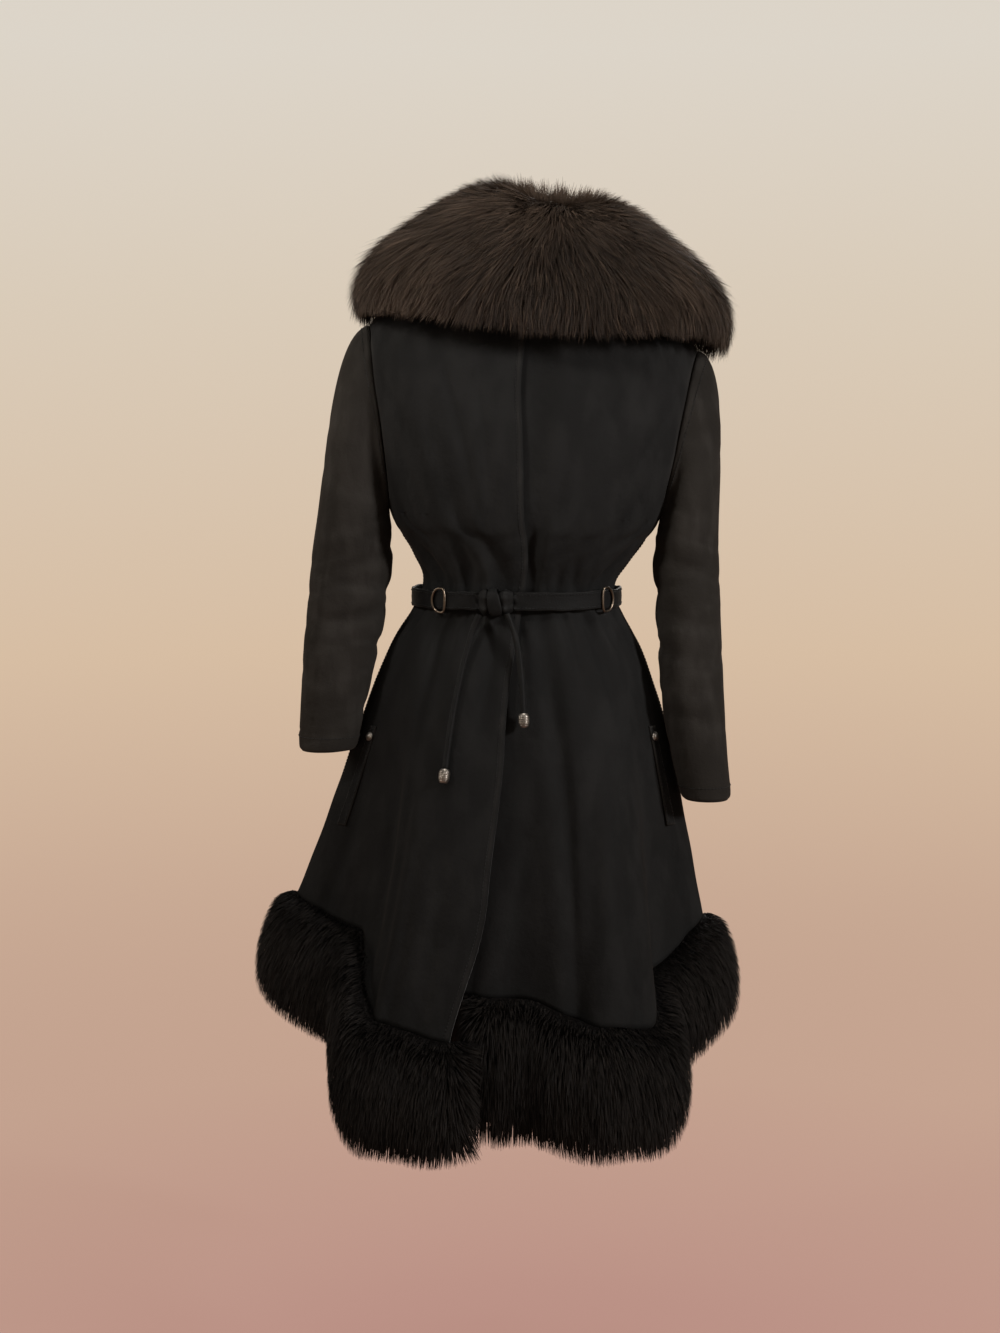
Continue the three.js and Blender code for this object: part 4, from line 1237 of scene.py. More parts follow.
@dataclass(frozen=True)
class CoatForm:
    """The surface that the cloth of the coat follows, from the neckline to the hem."""

    waist: float = -405.0
    wall: float = 5.0
    seam_gap: float = 0.5
    tip_row: float = 4.0
    armpit_row: float = 7.0
    waist_row: float = BELT_ROW
    hem_row: float = 18.0
    front_spread: float = 25.0
    back_spread: float = 24.0
    overlap: float = 17.0

    def column(self, word: str, row: Array) -> Array:
        """One of the body's sizes at fractional rows."""
        return curve_at([getattr(section, word) for section in TORSO + SKIRT], row)

    def share(self, row: Array) -> Array:
        """The share of the way from the waist to the hem."""
        shares = curve_at([0.0] + [section.place for section in SKIRT], row - self.waist_row)
        return np.where(row > self.waist_row, shares, 0.0)

    def point(self, angle: Any, row: Any, folds: Sequence[Fold] = HEM_FOLDS, plain: bool = False) -> Array:
        """Points of the cloth's outer face.

        Args:
            angle: Degrees from the centre front towards the wearer's left.
            row: Fractional rows.
            folds: The table of folds of the layer.
            plain: Whether to leave the creases out.

        Returns:
            The points, in millimetres.
        """
        angle, row = np.broadcast_arrays(np.asarray(angle, float), np.asarray(row, float))
        sine, cosine = np.sin(np.radians(angle)), np.cos(np.radians(angle))
        power, half = self.column("power", row), self.column("half_width", row)
        share = self.share(row)
        grown = clamp01((share - 0.05) / 0.95) ** 1.25
        reach = fold_at(folds, angle, "reach") * grown
        if not plain:
            reach = reach - trough_depth(CREASES, angle, row, half)
        deep = np.where(cosine > 0, self.column("front", row), self.column("back", row))
        x = half * squared(sine, power) + reach * sine
        y = -deep * squared(cosine, power) - reach * cosine
        level = np.minimum(row, self.waist_row)
        heights = curve_at([section.place for section in TORSO], level)
        roll = np.radians(curve_at([section.roll for section in TORSO], level))
        drop = curve_at([section.drop for section in TORSO], level)
        torso = heights - drop * (1 + cosine) / 2 - x * np.sin(roll)
        skirt = self.waist + share * (fold_at(folds, angle, "hem") - self.waist)
        in_skirt = row > self.waist_row
        across = np.where(in_skirt, x, x * np.cos(roll))
        return np.stack([self.column("shift", row) + across, y, np.where(in_skirt, skirt, torso)], axis=-1)

    def along(
        self, angle: Array, row: Any, folds: Sequence[Fold], step: float = 1.5, plain: bool = False
    ) -> Array:
        """The ways round the coat towards the wearer's left, over a step of degrees to each side."""
        return self.point(angle + step, row, folds, plain) - self.point(angle - step, row, folds, plain)

    def normal(self, angle: Any, row: Any, folds: Sequence[Fold] = HEM_FOLDS) -> Array:
        """The ways out of the cloth's face.

        Args:
            angle: Degrees from the front, towards the wearer's left.
            row: Rows of the body.
            folds: The folds of the layer.

        Returns:
            An arrow of length 1 at each place.
        """
        step = 0.15
        angle, row = np.broadcast_arrays(np.asarray(angle, float), np.asarray(row, float))
        above, below = np.maximum(0, row - step), np.minimum(self.hem_row, row + step)
        down = self.point(angle, below, folds) - self.point(angle, above, folds)
        return unit(np.cross(down, self.along(angle, row, folds)))

    def depth(self, creases: Sequence[Crease], angle: Array, row: Array) -> Array:
        """How deep a table of creases is at places of the body."""
        return trough_depth(creases, angle, row, self.column("half_width", row))

    @property
    def armhole(self) -> tuple[float, float]:
        """The armhole's middle row, and half its height in rows."""
        return (self.tip_row + self.armpit_row) / 2, (self.armpit_row - self.tip_row) / 2

    def edge_angle(self, row: Any) -> Array:
        """Where the right front's free edge runs.

        Args:
            row: Rows of the body.

        Returns:
            Degrees of the edge at the rows.
        """
        rows = np.array([place for place, _ in WRAP_EDGE], float)
        angles = np.array([angle for _, angle in WRAP_EDGE], float)
        index = np.clip(np.searchsorted(rows, row) - 1, 0, len(rows) - 2)
        share = smooth(clamp01((row - rows[index]) / (rows[index + 1] - rows[index])))
        return angles[index] + (angles[index + 1] - angles[index]) * share

    def seam(self, row: Array, factor: float) -> Array:
        """Half a seam's gap, in degrees."""
        return np.degrees(self.seam_gap / 2 / self.column("half_width", row)) * factor

    def inset(self, row: Array, spread: float) -> Array:
        """How far a panel stands back from the side seam to leave the armhole open."""
        middle, half = self.armhole
        return spread * np.sqrt(np.maximum(0.0, 1 - ((row - middle) / half) ** 2))

    def front_side(self, row: Array) -> Array:
        """How far round a front reaches."""
        return 90 - self.seam(row, 1.1) - self.inset(row, self.front_spread)

    def back_side(self, row: Array) -> Array:
        """How far round a back reaches, from the middle of the back."""
        return 90 - self.seam(row, 1.1) - self.inset(row, self.back_spread)

    def sunk(self, angle: Array, row: Array) -> Array:
        """How deep the left front lies under the right one."""
        clear, start, ease = 2.5, 1, 8
        return (self.wall + clear) * (1 - smooth(clamp01((angle - self.edge_angle(row) - start) / ease)))

    def skirt_place(self, angle: Any, height: Any, folds: Sequence[Fold]) -> tuple[Array, Array]:
        """Points of the skirt at heights, and the ways out of it, found by halving rows.

        Args:
            angle: Degrees from the front, towards the wearer's left.
            height: Heights in millimetres.
            folds: The folds of the layer.

        Returns:
            The points, and the ways out.
        """
        halvings = 24
        angle, height = np.broadcast_arrays(np.asarray(angle, float), np.asarray(height, float))
        low, high = np.full(angle.shape, self.waist_row), np.full(angle.shape, self.hem_row)
        for _ in range(halvings):
            middle = (low + high) / 2
            above = self.point(angle, middle, folds)[..., 2] > height
            low, high = np.where(above, middle, low), np.where(above, high, middle)
        down = self.point(angle, low + 0.2, folds) - self.point(angle, low - 0.05, folds)
        return self.point(angle, low, folds), unit(np.cross(down, self.along(angle, low, folds)))


# ---- Fronts and backs ----

SEAM_OFFSETS = (0, 0.7, 1.6, 2.8, 4.6, 7.5, 13)


@dataclass
class Panel:
    """A front or a back.

    Attributes:
        node: The CAD node that it stands for.
        edges: Its two edges in degrees, at rows.
        folds: The folds of its layer.
        sunk: How deep it lies under another layer.
        free_first: Whether its first edge hangs free.
        free_last: Whether its last edge hangs free.
        grid: Its face, once made.
        normals: The ways out of its face, once made.
    """

    node: str
    edges: Callable[[Array], tuple[Array, Array]]
    folds: Sequence[Fold] = HEM_FOLDS
    sunk: Callable[[Array, Array], Array] | None = None
    free_first: bool = False
    free_last: bool = False
    grid: Array | None = None
    normals: Array | None = None

    @property
    def name(self) -> str:
        """The piece's name."""
        return "cloth_" + self.node


@dataclass
class Panels:
    """The four panels of suede with clipped wool inside."""

    form: CoatForm
    wardrobe: Wardrobe
    middle_columns: int = 78
    seam_sink: float = 0.6
    seam_width: float = 1.4
    ridge: float = 0.6
    ridge_at: float = 5.0
    ridge_width: float = 2.6
    edge_round: float = 0.8
    edge_width: float = 1.6
    uneven: float = 0.7
    fine_share: float = 1.25
    coarse_share: float = 0.6
    inside_share: float = 0.75

    def rows(self) -> Array:
        """The rows of a panel's grid, closer together where the armhole turns.

        Returns:
            The rows, from the neck down.
        """
        form = self.form
        middle, half = form.armhole
        armhole = middle - half * np.cos(np.linspace(0, math.pi, 27))
        upper, lower = np.linspace(0, form.tip_row, 9)[:-1], np.linspace(form.waist_row, form.hem_row, 53)[1:]
        return np.concatenate([upper, armhole, np.linspace(form.armpit_row, form.waist_row, 24)[1:], lower])

    def angles(self, panel: Panel, rows: Array) -> tuple[Array, Array, Array]:
        """The degrees of a panel's grid places, and their distances from its two edges.

        Args:
            panel: The panel.
            rows: Its rows.

        Returns:
            Each point's degrees, and its distances from the first and the last edge.
        """
        first, last = panel.edges(rows)
        share = np.linspace(0, 1, 241)
        dense = first[:, None] + (last - first)[:, None] * share
        walked = lengths_along(self.form.point(dense, rows[:, None], panel.folds, plain=True), 1)
        width = walked[:, -1]
        offsets = np.array(SEAM_OFFSETS, float)
        inner = np.linspace(0, 1, self.middle_columns + 1)[1:-1]
        places = []
        for total in width:
            near = offsets * min(1.0, total / (offsets[-1] * 4))
            middle = near[-1] + (total - 2 * near[-1]) * inner
            places.append(np.concatenate([near, middle, (total - near)[::-1]]))
        places = np.array(places)
        angle = np.array([np.interp(p, w, d) for p, w, d in zip(places, walked, dense)])
        return angle, places, width[:, None] - places

    def make(self, panel: Panel) -> None:
        """Builds a panel, and keeps its grid and normals in it.

        Args:
            panel: What to build.
        """
        rows = self.rows()
        angle, from_first, from_last = self.angles(panel, rows)
        row = np.broadcast_to(rows[:, None], angle.shape)
        normals = self.form.normal(angle, row, panel.folds)
        coarse = self.form.depth(CREASES, angle, row)
        fine = self.form.depth(FINE_CREASES, angle, row) * self.fine_share + coarse * self.coarse_share
        lie = panel.sunk(angle, row) if panel.sunk else np.zeros_like(angle)
        drawn = np.zeros_like(angle)
        for away, is_free in ((from_first, panel.free_first), (from_last, panel.free_last)):
            if is_free:
                drawn += self.edge_round * bump(away, self.edge_width)
            else:
                drawn += self.seam_sink * bump(away, self.seam_width)
                drawn -= self.ridge * bump(away - self.ridge_at, self.ridge_width)
        across, down = np.radians(angle) * 17 + row * 2.1, row * 3.3 + angle * 0.05
        waves = self.uneven * np.sin(across) * np.sin(down)
        base = self.form.point(angle, row, panel.folds) - normals * lie[..., None]
        outer = base - normals * (fine + drawn + waves)[..., None]
        inner = base - normals * (self.form.wall + fine * self.inside_share)[..., None]
        panel.grid, panel.normals = outer, grid_normals(outer)
        edge = np.minimum(from_first, from_last)
        ridges = clamp01((1.2 - (fine + coarse)) / 1.2) * bump(np.minimum(abs(fine - 1.0), abs(coarse - 2.2)), 1.0)
        rubbed = clamp01(bump(edge - 4.6, 2.4) * 0.4 + ridges * 0.12)
        surface = shell(outer, inner, flat_places(outer), values={"rubbed": rubbed})
        suede, wool = self.wardrobe.suede, self.wardrobe.wool
        piece = surface.build(panel.name, [suede, wool, wool])
        lay_flat(dress(piece, [panel.node]), outer)

    def build(self) -> dict[str, Panel]:
        """Builds all four.

        Returns:
            The panels by name.
        """
        form = self.form
        panels = [
            Panel("front_right", lambda row: (-form.front_side(row), form.edge_angle(row)), WRAP_FOLDS, free_last=True),
            Panel(
                "front_left",
                lambda row: (form.edge_angle(row) - form.overlap, form.front_side(row)),
                sunk=form.sunk,
                free_first=True,
            ),
            Panel("back_left", lambda row: (180 - form.back_side(row), 180 - form.seam(row, 1.25))),
            Panel("back_right", lambda row: (180 + form.seam(row, 1.25), 180 + form.back_side(row))),
        ]
        for panel in panels:
            self.make(panel)
        return {panel.name: panel for panel in panels}


# ---- Sleeves ----


class Ring(NamedTuple):
    """A ring of a sleeve: the place of its middle, its half width and its half depth."""

    z: float
    x: float
    y: float
    wide: float
    deep: float


class Dent(NamedTuple):
    """A crease round a sleeve: its height, its turn from the outer side, its spread, size, slant and depth."""

    z: float
    turn: float
    spread: float
    height: float
    slant: float
    depth: float


SLEEVE_RINGS = {
    Side.RIGHT: named(Ring,
        (-318, -248, -4, 50.5, 66),
        (-352, -249, -9, 54, 60),
        (-388, -252, -16, 54, 56),
        (-430, -257, -24, 52.5, 53),
        (-477, -263, -32, 50, 51),
        (-525, -270, -39, 45, 49),
        (-570, -276, -44, 41, 46),
        (-594, -279, -46, 39, 44),
        (-604, -281, -47, 35, 40),
    ),
    Side.LEFT: named(Ring,
        (-328, 193, -4, 42, 66),
        (-362, 192, -9, 44, 60),
        (-400, 193, -16, 44, 56),
        (-450, 195, -24, 43, 53),
        (-505, 197, -34, 42.5, 51),
        (-560, 201, -43, 40.5, 49),
        (-615, 208, -50, 36.5, 46),
        (-655, 214.5, -55, 33.5, 43),
        (-667, 216, -57, 30.5, 39),
    ),
}
SLEEVE_CREASES = named(Dent,
    (-352, 130, 75, 11, 16, 4),
    (-396, 175, 80, 12, -14, 5),
    (-428, 110, 70, 10, 12, 4.5),
    (-466, 190, 75, 12, 10, 4),
    (-512, 245, 70, 13, -12, 3.5),
    (-556, 120, 60, 12, 10, 3),
)
FINE_SLEEVE_CREASES = named(Dent,
    (-150, 60, 60, 9, 22, 1.6),
    (-196, 95, 55, 8, 26, 1.8),
    (-244, 75, 70, 9, -20, 1.8),
    (-290, 120, 60, 7, 18, 2.0),
    (-322, 160, 50, 6, -12, 2.0),
    (-338, 60, 55, 7, 14, 1.8),
    (-372, 100, 50, 6, -10, 2.2),
    (-384, 30, 60, 8, 12, 1.8),
    (-412, 140, 50, 6, 10, 2.2),
    (-414, 55, 45, 6, -12, 1.6),
    (-446, 150, 60, 7, -12, 2.0),
    (-450, 80, 50, 6, 10, 1.8),
    (-484, 130, 55, 7, 12, 1.8),
    (-494, 40, 60, 8, -14, 1.6),
    (-530, 90, 50, 7, 10, 1.6),
    (-540, 200, 60, 8, -10, 1.8),
    (-574, 60, 50, 7, 10, 1.4),
    (-598, 150, 55, 7, -10, 1.4),
    (-340, 250, 60, 8, 14, 2.0),
    (-400, 280, 60, 8, -14, 2.2),
    (-440, 310, 55, 8, 12, 1.8),
    (-480, 270, 60, 8, 12, 1.8),
    (-240, 260, 70, 9, 20, 1.6),
    (-180, 290, 60, 9, -22, 1.6),
)


def dents_at(dents: Sequence[Dent], turn: Array, z: Array) -> Array:
    """How deep a table of sleeve creases is, by degrees round the sleeve and heights.

    Args:
        dents: The table.
        turn: Degrees round the sleeve.
        z: Heights in millimetres.

    Returns:
        The depth at each place, in millimetres.
    """
    depth = np.zeros(np.broadcast(turn, z).shape)
    for dent in dents:
        away = half_turn(turn - dent.turn)
        up = z - dent.z - dent.slant * np.sin(np.radians(away))
        depth += dent.depth * np.exp(-((up / dent.height) ** 2) - (away / dent.spread) ** 2)
    return depth


@dataclass
class Sleeves:
    """Two set-in sleeves with turned cuffs."""

    form: CoatForm
    wardrobe: Wardrobe
    head_steps: int = 26
    arm_steps: int = 60
    around: int = 72
    seam_turn: float = 182.0
    seam_depth: float = 2.2
    seam_width: float = 2.2
    head_stitch: float = 6.0
    cuff_stitch: float = 22.0
    inside_share: float = 0.6
    power: float = 2.15
    grids: dict[Side, Array] = field(default_factory=dict)

    def armhole(self, turn: Array, side: Side) -> Array:
        """Points of the armhole's edge, by degrees from its top, the front half first.

        Args:
            turn: Degrees from the top of the armhole.
            side: The wearer's side.

        Returns:
            Points round the armhole.
        """
        form = self.form
        middle, half = form.armhole
        row = middle - half * np.cos(np.radians(turn))
        spread = np.where(turn < 180, form.front_spread, form.back_spread)
        away = 90 - spread * np.abs(np.sin(np.radians(turn)))
        return form.point(side.value * np.where(turn < 180, away, 180 - away), row)

    def ring(self, rings: Sequence[Ring], index: Array, turn: Array, side: Side) -> Array:
        """Points of the arm below the armhole.

        Args:
            rings: The table.
            index: Fractional places in the table.
            turn: Degrees round the sleeve.
            side: The wearer's side.

        Returns:
            Points round the sleeve.
        """
        at = {word: curve_at([getattr(ring, word) for ring in rings], index) for word in Ring._fields}
        dent = dents_at(SLEEVE_CREASES, turn, at["z"])
        cosine, sine = np.cos(np.radians(turn)), np.sin(np.radians(turn))
        x = at["x"] + side.value * (at["wide"] - dent) * squared(cosine, self.power)
        y = at["y"] - (at["deep"] - dent) * squared(sine, self.power)
        return np.stack([x, y, np.broadcast_to(at["z"], x.shape)], axis=-1)

    def grid(self, side: Side) -> tuple[Array, Array]:
        """The sleeve's outer face and the turn of each of its points.

        Args:
            side: The wearer's side.

        Returns:
            The points, and their degrees round the sleeve.
        """
        rings = SLEEVE_RINGS[side]
        turns = np.arange(self.around) * (360 / self.around)
        out = unit(np.array([side.value, 0, -0.12]))
        down = unit(np.array([-0.17 if side is Side.RIGHT else 0.0, 0, -1]))
        start = self.armhole(turns, side) + out * (self.form.seam_gap - 0.3)
        end = self.ring(rings, np.zeros(1)[:, None], turns[None, :], side)[0]
        reach = np.linalg.norm(end - start, axis=-1, keepdims=True)
        t = np.linspace(0, 1, self.head_steps + 1)[:-1, None, None]
        head = (
            start * (2 * t**3 - 3 * t**2 + 1)
            + out * reach * 0.55 * (t**3 - 2 * t**2 + t)
            + end * (3 * t**2 - 2 * t**3)
            + down * reach * 0.9 * (t**3 - t**2)
        )
        index = np.linspace(0, len(rings) - 1, self.arm_steps)[:, None]
        arm = self.ring(rings, index, turns[None, :], side)
        grid = np.concatenate([head, arm])
        angle = np.broadcast_to(turns, grid.shape[:2])
        if side is Side.LEFT:
            return grid[:, ::-1], angle[:, ::-1]
        return grid, angle

    def build(self) -> None:
        """Builds both."""
        lowered = {Side.RIGHT: 12, Side.LEFT: -6}
        for side in Side:
            base, turn = self.grid(side)
            normals = grid_normals(base, around=True)
            fine = dents_at(FINE_SLEEVE_CREASES, turn, base[..., 2] + lowered[side])
            seam = self.seam_depth * bump((turn - self.seam_turn) * 0.8, self.seam_width)
            head = lengths_along(base, 0)
            cuff = head[-1] - head
            drawn = 0.7 * bump(head, 1.8) + 0.9 * bump(cuff - 26, 2.2) + 2.0 * bump(cuff, 2.5)
            lift = 0.5 * bump(head - self.head_stitch, 3.5) + 0.4 * bump(cuff - self.cuff_stitch, 3)
            outer = base - normals * (fine + seam + drawn - lift)[..., None]
            inner = base - normals * (self.form.wall + fine * self.inside_share)[..., None]
            self.grids[side] = outer
            rubbed = 0.25 + bump(cuff, 8) * 0.7 + bump(head - self.head_stitch, 4) * 0.5
            rubbed = clamp01(rubbed + bump(fine - 0.9, 0.6) * 0.3)
            surface = shell(outer, inner, flat_places(closed(outer)), around=True, values={"rubbed": rubbed})
            materials = [self.wardrobe.sleeve_suede, self.wardrobe.wool, self.wardrobe.sleeve_suede]
            piece = surface.build(f"cloth_sleeve_{side.word}", materials)
            lay_flat(dress(piece, [f"sleeve_{side.word}"]), closed(outer))


# ---- Collar and hem fur ----


def down_the_rows(rows: Array, index: Array) -> Array:
    """Reads a smooth surface through rows of points at fractional rows."""
    flat = curve_at(rows.reshape(len(rows), -1), index)
    return flat.reshape(len(index), *rows.shape[1:])


@dataclass
class Pelt:
    """A strip of long-haired pelt in the making.

    Attributes:
        name: The piece's name.
        node: The CAD node that it stands for.
        skin: The hair side of the skin, as rows and columns.
        tips: Where the hair of each place ends.
        cover: How thickly the hair grows at each place, up to 1.
        shade: How far painted shade darkens the hair at each place, up to 1.
        wall: The skin's thickness.
    """

    name: str
    node: str
    skin: Array
    tips: Array
    cover: Array
    shade: Array
    wall: float = 3.0


@dataclass(frozen=True)
class HairStyle:
    """How hair grows, in hairs to a lock, shares of its reach and millimetres."""

    lock: int
    stand: float
    gather: float
    ragged: float
    width: float
    wave: float
    bends: int = 2

    def settings(self, density: float, seed: int, fur: Material) -> dict[str, Any]:
        """What the hair tree is told.

        Args:
            density: Hairs to a square metre.
            seed: The seed of its draws.
            fur: The hair's finish.

        Returns:
            The tree's inputs, by name.
        """
        return {
            "Hairs": density,
            "Locks": density / self.lock,
            "Stand": self.stand,
            "Gather": self.gather,
            "Ragged": self.ragged,
            "Width": self.width * MM,
            "Wave": self.wave * MM,
            "Bends": self.bends,
            "Seed": seed,
            "Finish": fur,
        }


@dataclass
class Furrier:
    """Makes pelts and grows their hair."""

    tree: Tree
    wardrobe: Wardrobe

    def make(
        self, pelt: Pelt, fur: Material, hairs: dict[str, tuple[int, int, int]], style: HairStyle
    ) -> None:
        """Builds a pelt and its hair.

        Args:
            pelt: The strip.
            fur: The hair's finish.
            hairs: For each hair piece its first column, its last column and its number of hairs.
            style: How the hair grows.
        """
        first_seed, seed_step = 17, 5
        skin = pelt.skin
        surface = shell(skin, skin - grid_normals(skin) * pelt.wall, flat_places(skin))
        piece = surface.build(pelt.name, [fur, self.wardrobe.suede, fur])
        for number, (name, (first, last, count)) in enumerate(hairs.items()):
            part = self._roots(pelt, slice(first, last + 1))
            patch = part.build(name + "_roots", [fur])
            cover = float(pelt.cover[:, first : last + 1].mean())
            density = count / (cell_area(skin[:, first : last + 1]) * cover)
            settings = style.settings(density, first_seed + number * seed_step, fur)
            tuft = grow(name, self.tree, patch.data, settings)
            mesh = patch.data
            bpy.data.objects.remove(patch)
            bpy.data.meshes.remove(mesh)
            dress(tuft)
        lay_flat(dress(piece, [pelt.node]), skin)

    @staticmethod
    def _roots(pelt: Pelt, columns: slice) -> Surface:
        """The open face that hair grows from, with what the hair tree reads from it.

        Args:
            pelt: The strip.
            columns: Which columns to take.

        Returns:
            The face.
        """
        skin = pelt.skin[:, columns]
        rows, count = skin.shape[:2]
        i, j = cells(rows - 1, count - 1)
        first = i * count + j
        faces = np.stack([first, first + count, first + count + 1, first + 1], axis=-1)
        reach = (pelt.tips[:, columns] - skin).reshape(-1, 3) * MM
        # the painted shade goes to the hair with each root
        values = {"reach": reach, "cover": pelt.cover[:, columns].ravel(), "shade": pelt.shade[:, columns].ravel()}
        return Surface(skin.reshape(-1, 3), faces.tolist(), [0] * len(faces), np.zeros((len(faces) * 4, 2)), values)


class Rise(NamedTuple):
    """The collar's outer edge and rim heights at an angle."""

    angle: float
    edge: float
    rim: float


class Fall(NamedTuple):
    """A row of the collar from the rim out and down, for its hair's face and for its inner side."""

    across: float
    up: float
    in_across: float
    in_up: float


COLLAR_FALL = named(Fall,
    (0, 0.93, 0.15, 0.78),
    (0.09, 1, 0.22, 0.8),
    (0.26, 0.95, 0.31, 0.72),
    (0.44, 0.85, 0.42, 0.62),
    (0.61, 0.73, 0.54, 0.51),
    (0.77, 0.59, 0.66, 0.4),
    (0.925, 0.44, 0.76, 0.29),
    (0.99, 0.29, 0.82, 0.18),
    (1, 0.14, 0.85, 0.09),
    (0.975, 0.02, 0.87, 0.035),
)
COLLAR_HEIGHTS = named(Rise,
    (-90, -45, 143),
    (-45, -38, 132),
    (-15, -58, 120),
    (15, -66, 116),
    (50, -66, 116),
    (90, -92, 119),
    (135, -96, 132),
    (180, -86, 142),
    (225, -66, 144),
)


@dataclass
class Collar:
    """The deep long-haired collar, which opens at the front and covers the shoulders."""

    form: CoatForm
    furrier: Furrier
    half_width: float = 254.0
    front: float = 156.0
    back: float = 160.0
    power: float = 2.3
    shift: float = 1.0
    rim_radius: float = 50.0
    rim_shift: float = 14.0
    slit: float = -9.0
    slit_half: float = 0.02
    wall: float = 4.0
    depth: float = 0.5
    edge_left: float = 36.0
    overhang: float = 12.0
    swirl: float = 6.5
    columns: int = 120
    hairs: int = 38400
    style: HairStyle = HairStyle(lock=10, stand=0.4, gather=0.32, ragged=0.26, width=1.22, wave=1.5)
    def place(self, angle: Array, across: Array, up: Array) -> Array:
        """Places between the rim and the outer edge.

        Args:
            angle: Degrees from the front, towards the wearer's left.
            across: Shares of the way from the rim to the outer edge.
            up: Shares of the way from the edge's height to the rim's.

        Returns:
            The points.
        """
        sine, cosine = np.sin(np.radians(angle)), np.cos(np.radians(angle))
        deep = np.where(cosine > 0, self.front, self.back)
        rim = np.stack([self.rim_shift + self.rim_radius * sine, -self.rim_radius * cosine], axis=-1)
        edge_x = self.shift + self.half_width * squared(sine, self.power)
        edge = np.stack([edge_x, -deep * squared(cosine, self.power)], axis=-1)
        flat = rim + (edge - rim) * np.asarray(across)[..., None]
        low, high = fold_at(COLLAR_HEIGHTS, angle, "edge"), fold_at(COLLAR_HEIGHTS, angle, "rim")
        return np.concatenate([flat, (low + (high - low) * up)[..., None]], axis=-1)

    def stand(self, angle: Array, inwards: float, rise: float) -> Array:
        """Places of the stand round the neck."""
        neck = self.form.point(angle, np.zeros_like(angle))
        return neck - radial(angle) * inwards + UP * rise

    def swirls(self, angle: Array, index: Array) -> Array:
        """How far the locks lean along the collar, by degrees and rows.

        Args:
            angle: Degrees from the front, towards the wearer's left.
            index: Rows of the collar.

        Returns:
            Millimetres at each place.
        """
        turn, down = np.radians(angle)[None, :], index[:, None]
        swirl = np.sin(turn * 9 + down * 1.1)
        swirl = swirl + 0.8 * np.sin(turn * 17 - down * 1.9 + 1) + 0.6 * np.sin(turn * 4 - down * 2.6)
        return swirl * self.swirl

    def build(self) -> None:
        """Builds the collar with its hair."""
        start = self.slit + self.slit_half
        angle = np.linspace(start, self.slit + 360 - self.slit_half, self.columns + 1)
        face = [self.stand(angle, 12, 1), self.stand(angle, 14, 40)]
        back = [self.stand(angle, -5, 1), self.stand(angle, -7, 40)]
        for row in COLLAR_FALL:
            face.append(self.place(angle, np.full_like(angle, row.across), np.full_like(angle, row.up)))
            inner = row.in_across * (1 - 0.3 * np.cos(np.radians(angle)) ** 2)
            back.append(self.place(angle, inner, np.full_like(angle, row.in_up)))
        index = np.linspace(0, len(face) - 1, 61)
        face, back = down_the_rows(np.array(face), index), down_the_rows(np.array(back), index)
        depth = np.interp(index, [0, 1, 2, 4, 11], [0.35, 0.4, self.depth, self.depth, self.depth])
        skin = face + (back - face) * depth[:, None, None]
        walked = lengths_along(face, 0)
        total = walked[-1]
        lengths = np.interp(index, [0, 1.5, 3, 5, 8, 11], [26, 32, 44, 56, 60, 52])[:, None]
        to = walked + lengths * (0.96 + 0.08 * np.sin(np.radians(angle) * 7 + 1.0))
        over = np.maximum(0.0, to - total)
        tips = np.empty_like(face)
        for column in range(face.shape[1]):
            for axis in range(3):
                tips[:, column, axis] = np.interp(to[:, column], walked[:, column], face[:, column, axis])
        ends = unit(face[-1] - face[-4])
        sides = 1 - 0.8 * bump(angle - 285, 42) - 0.8 * bump(angle + 75, 42)
        tips += ends * np.minimum(over * 0.5, self.overhang)[..., None] * sides[None, :, None]
        tips[..., 2] += np.interp(index, [0, 1.5, 3, 4.5, 7], [4, 8, 8, 3, 0])[:, None]
        curl = np.interp(index, [7.5, 11], [0, 13])[:, None] * np.sin(np.radians(angle)) ** 2
        tips[..., 0] -= curl * np.sin(np.radians(angle))
        around = unit(np.gradient(face, axis=1))
        tips += around * self.swirls(angle, index)[..., None]
        keep = np.searchsorted(-(total - walked).mean(axis=1), -self.edge_left)
        skin, tips, index = skin[:keep], tips[:keep], index[:keep, None]
        cover = np.interp(index, [0, 1.5, 3, 12], [0.45, 0.7, 1.0, 1.0]) * np.ones(skin.shape[1])
        # painted shade: the hair darkens in the middle of the front, where the two halves of the collar meet and fall
        # into shade
        middle = bump(half_turn(angle - 8), 40) * smooth(clamp01((index - 3.4) / 2.6))
        pelt = Pelt("collar_pelt", "collar", skin, tips, cover, middle, self.wall)
        quarter = self.columns // 4
        right, left = 3 * quarter, quarter
        hairs = {
            "collar_hair_left": (0, left, self.hairs // 2),
            "collar_hair_back": (left, right, self.hairs),
            "collar_hair_right": (right, self.columns, self.hairs // 2),
        }
        self.furrier.make(pelt, self.furrier.wardrobe.collar_fur, hairs, self.style)


# The hem roll's section: each row's root and tip, out from the cloth's face and down from its edge.
HEM_SECTION = (
    (-13, 1, -15, 11),
    (1, 0.6, 9, 5),
    (6, 2, 19, 3),
    (14, 9, 32, 10),
    (20, 26, 41, 38),
    (24, 50, 45, 71),
    (24, 76, 44, 104),
    (19, 99, 37, 134),
    (8, 118, 18, 158),
    (-5, 118, -6, 161),
    (-13, 98, -21, 131),
    (-16, 73, -27, 97),
    (-15, 46, -26, 63),
    (-14, 22, -22, 36),
    (-14, 4, -17, 14),
)


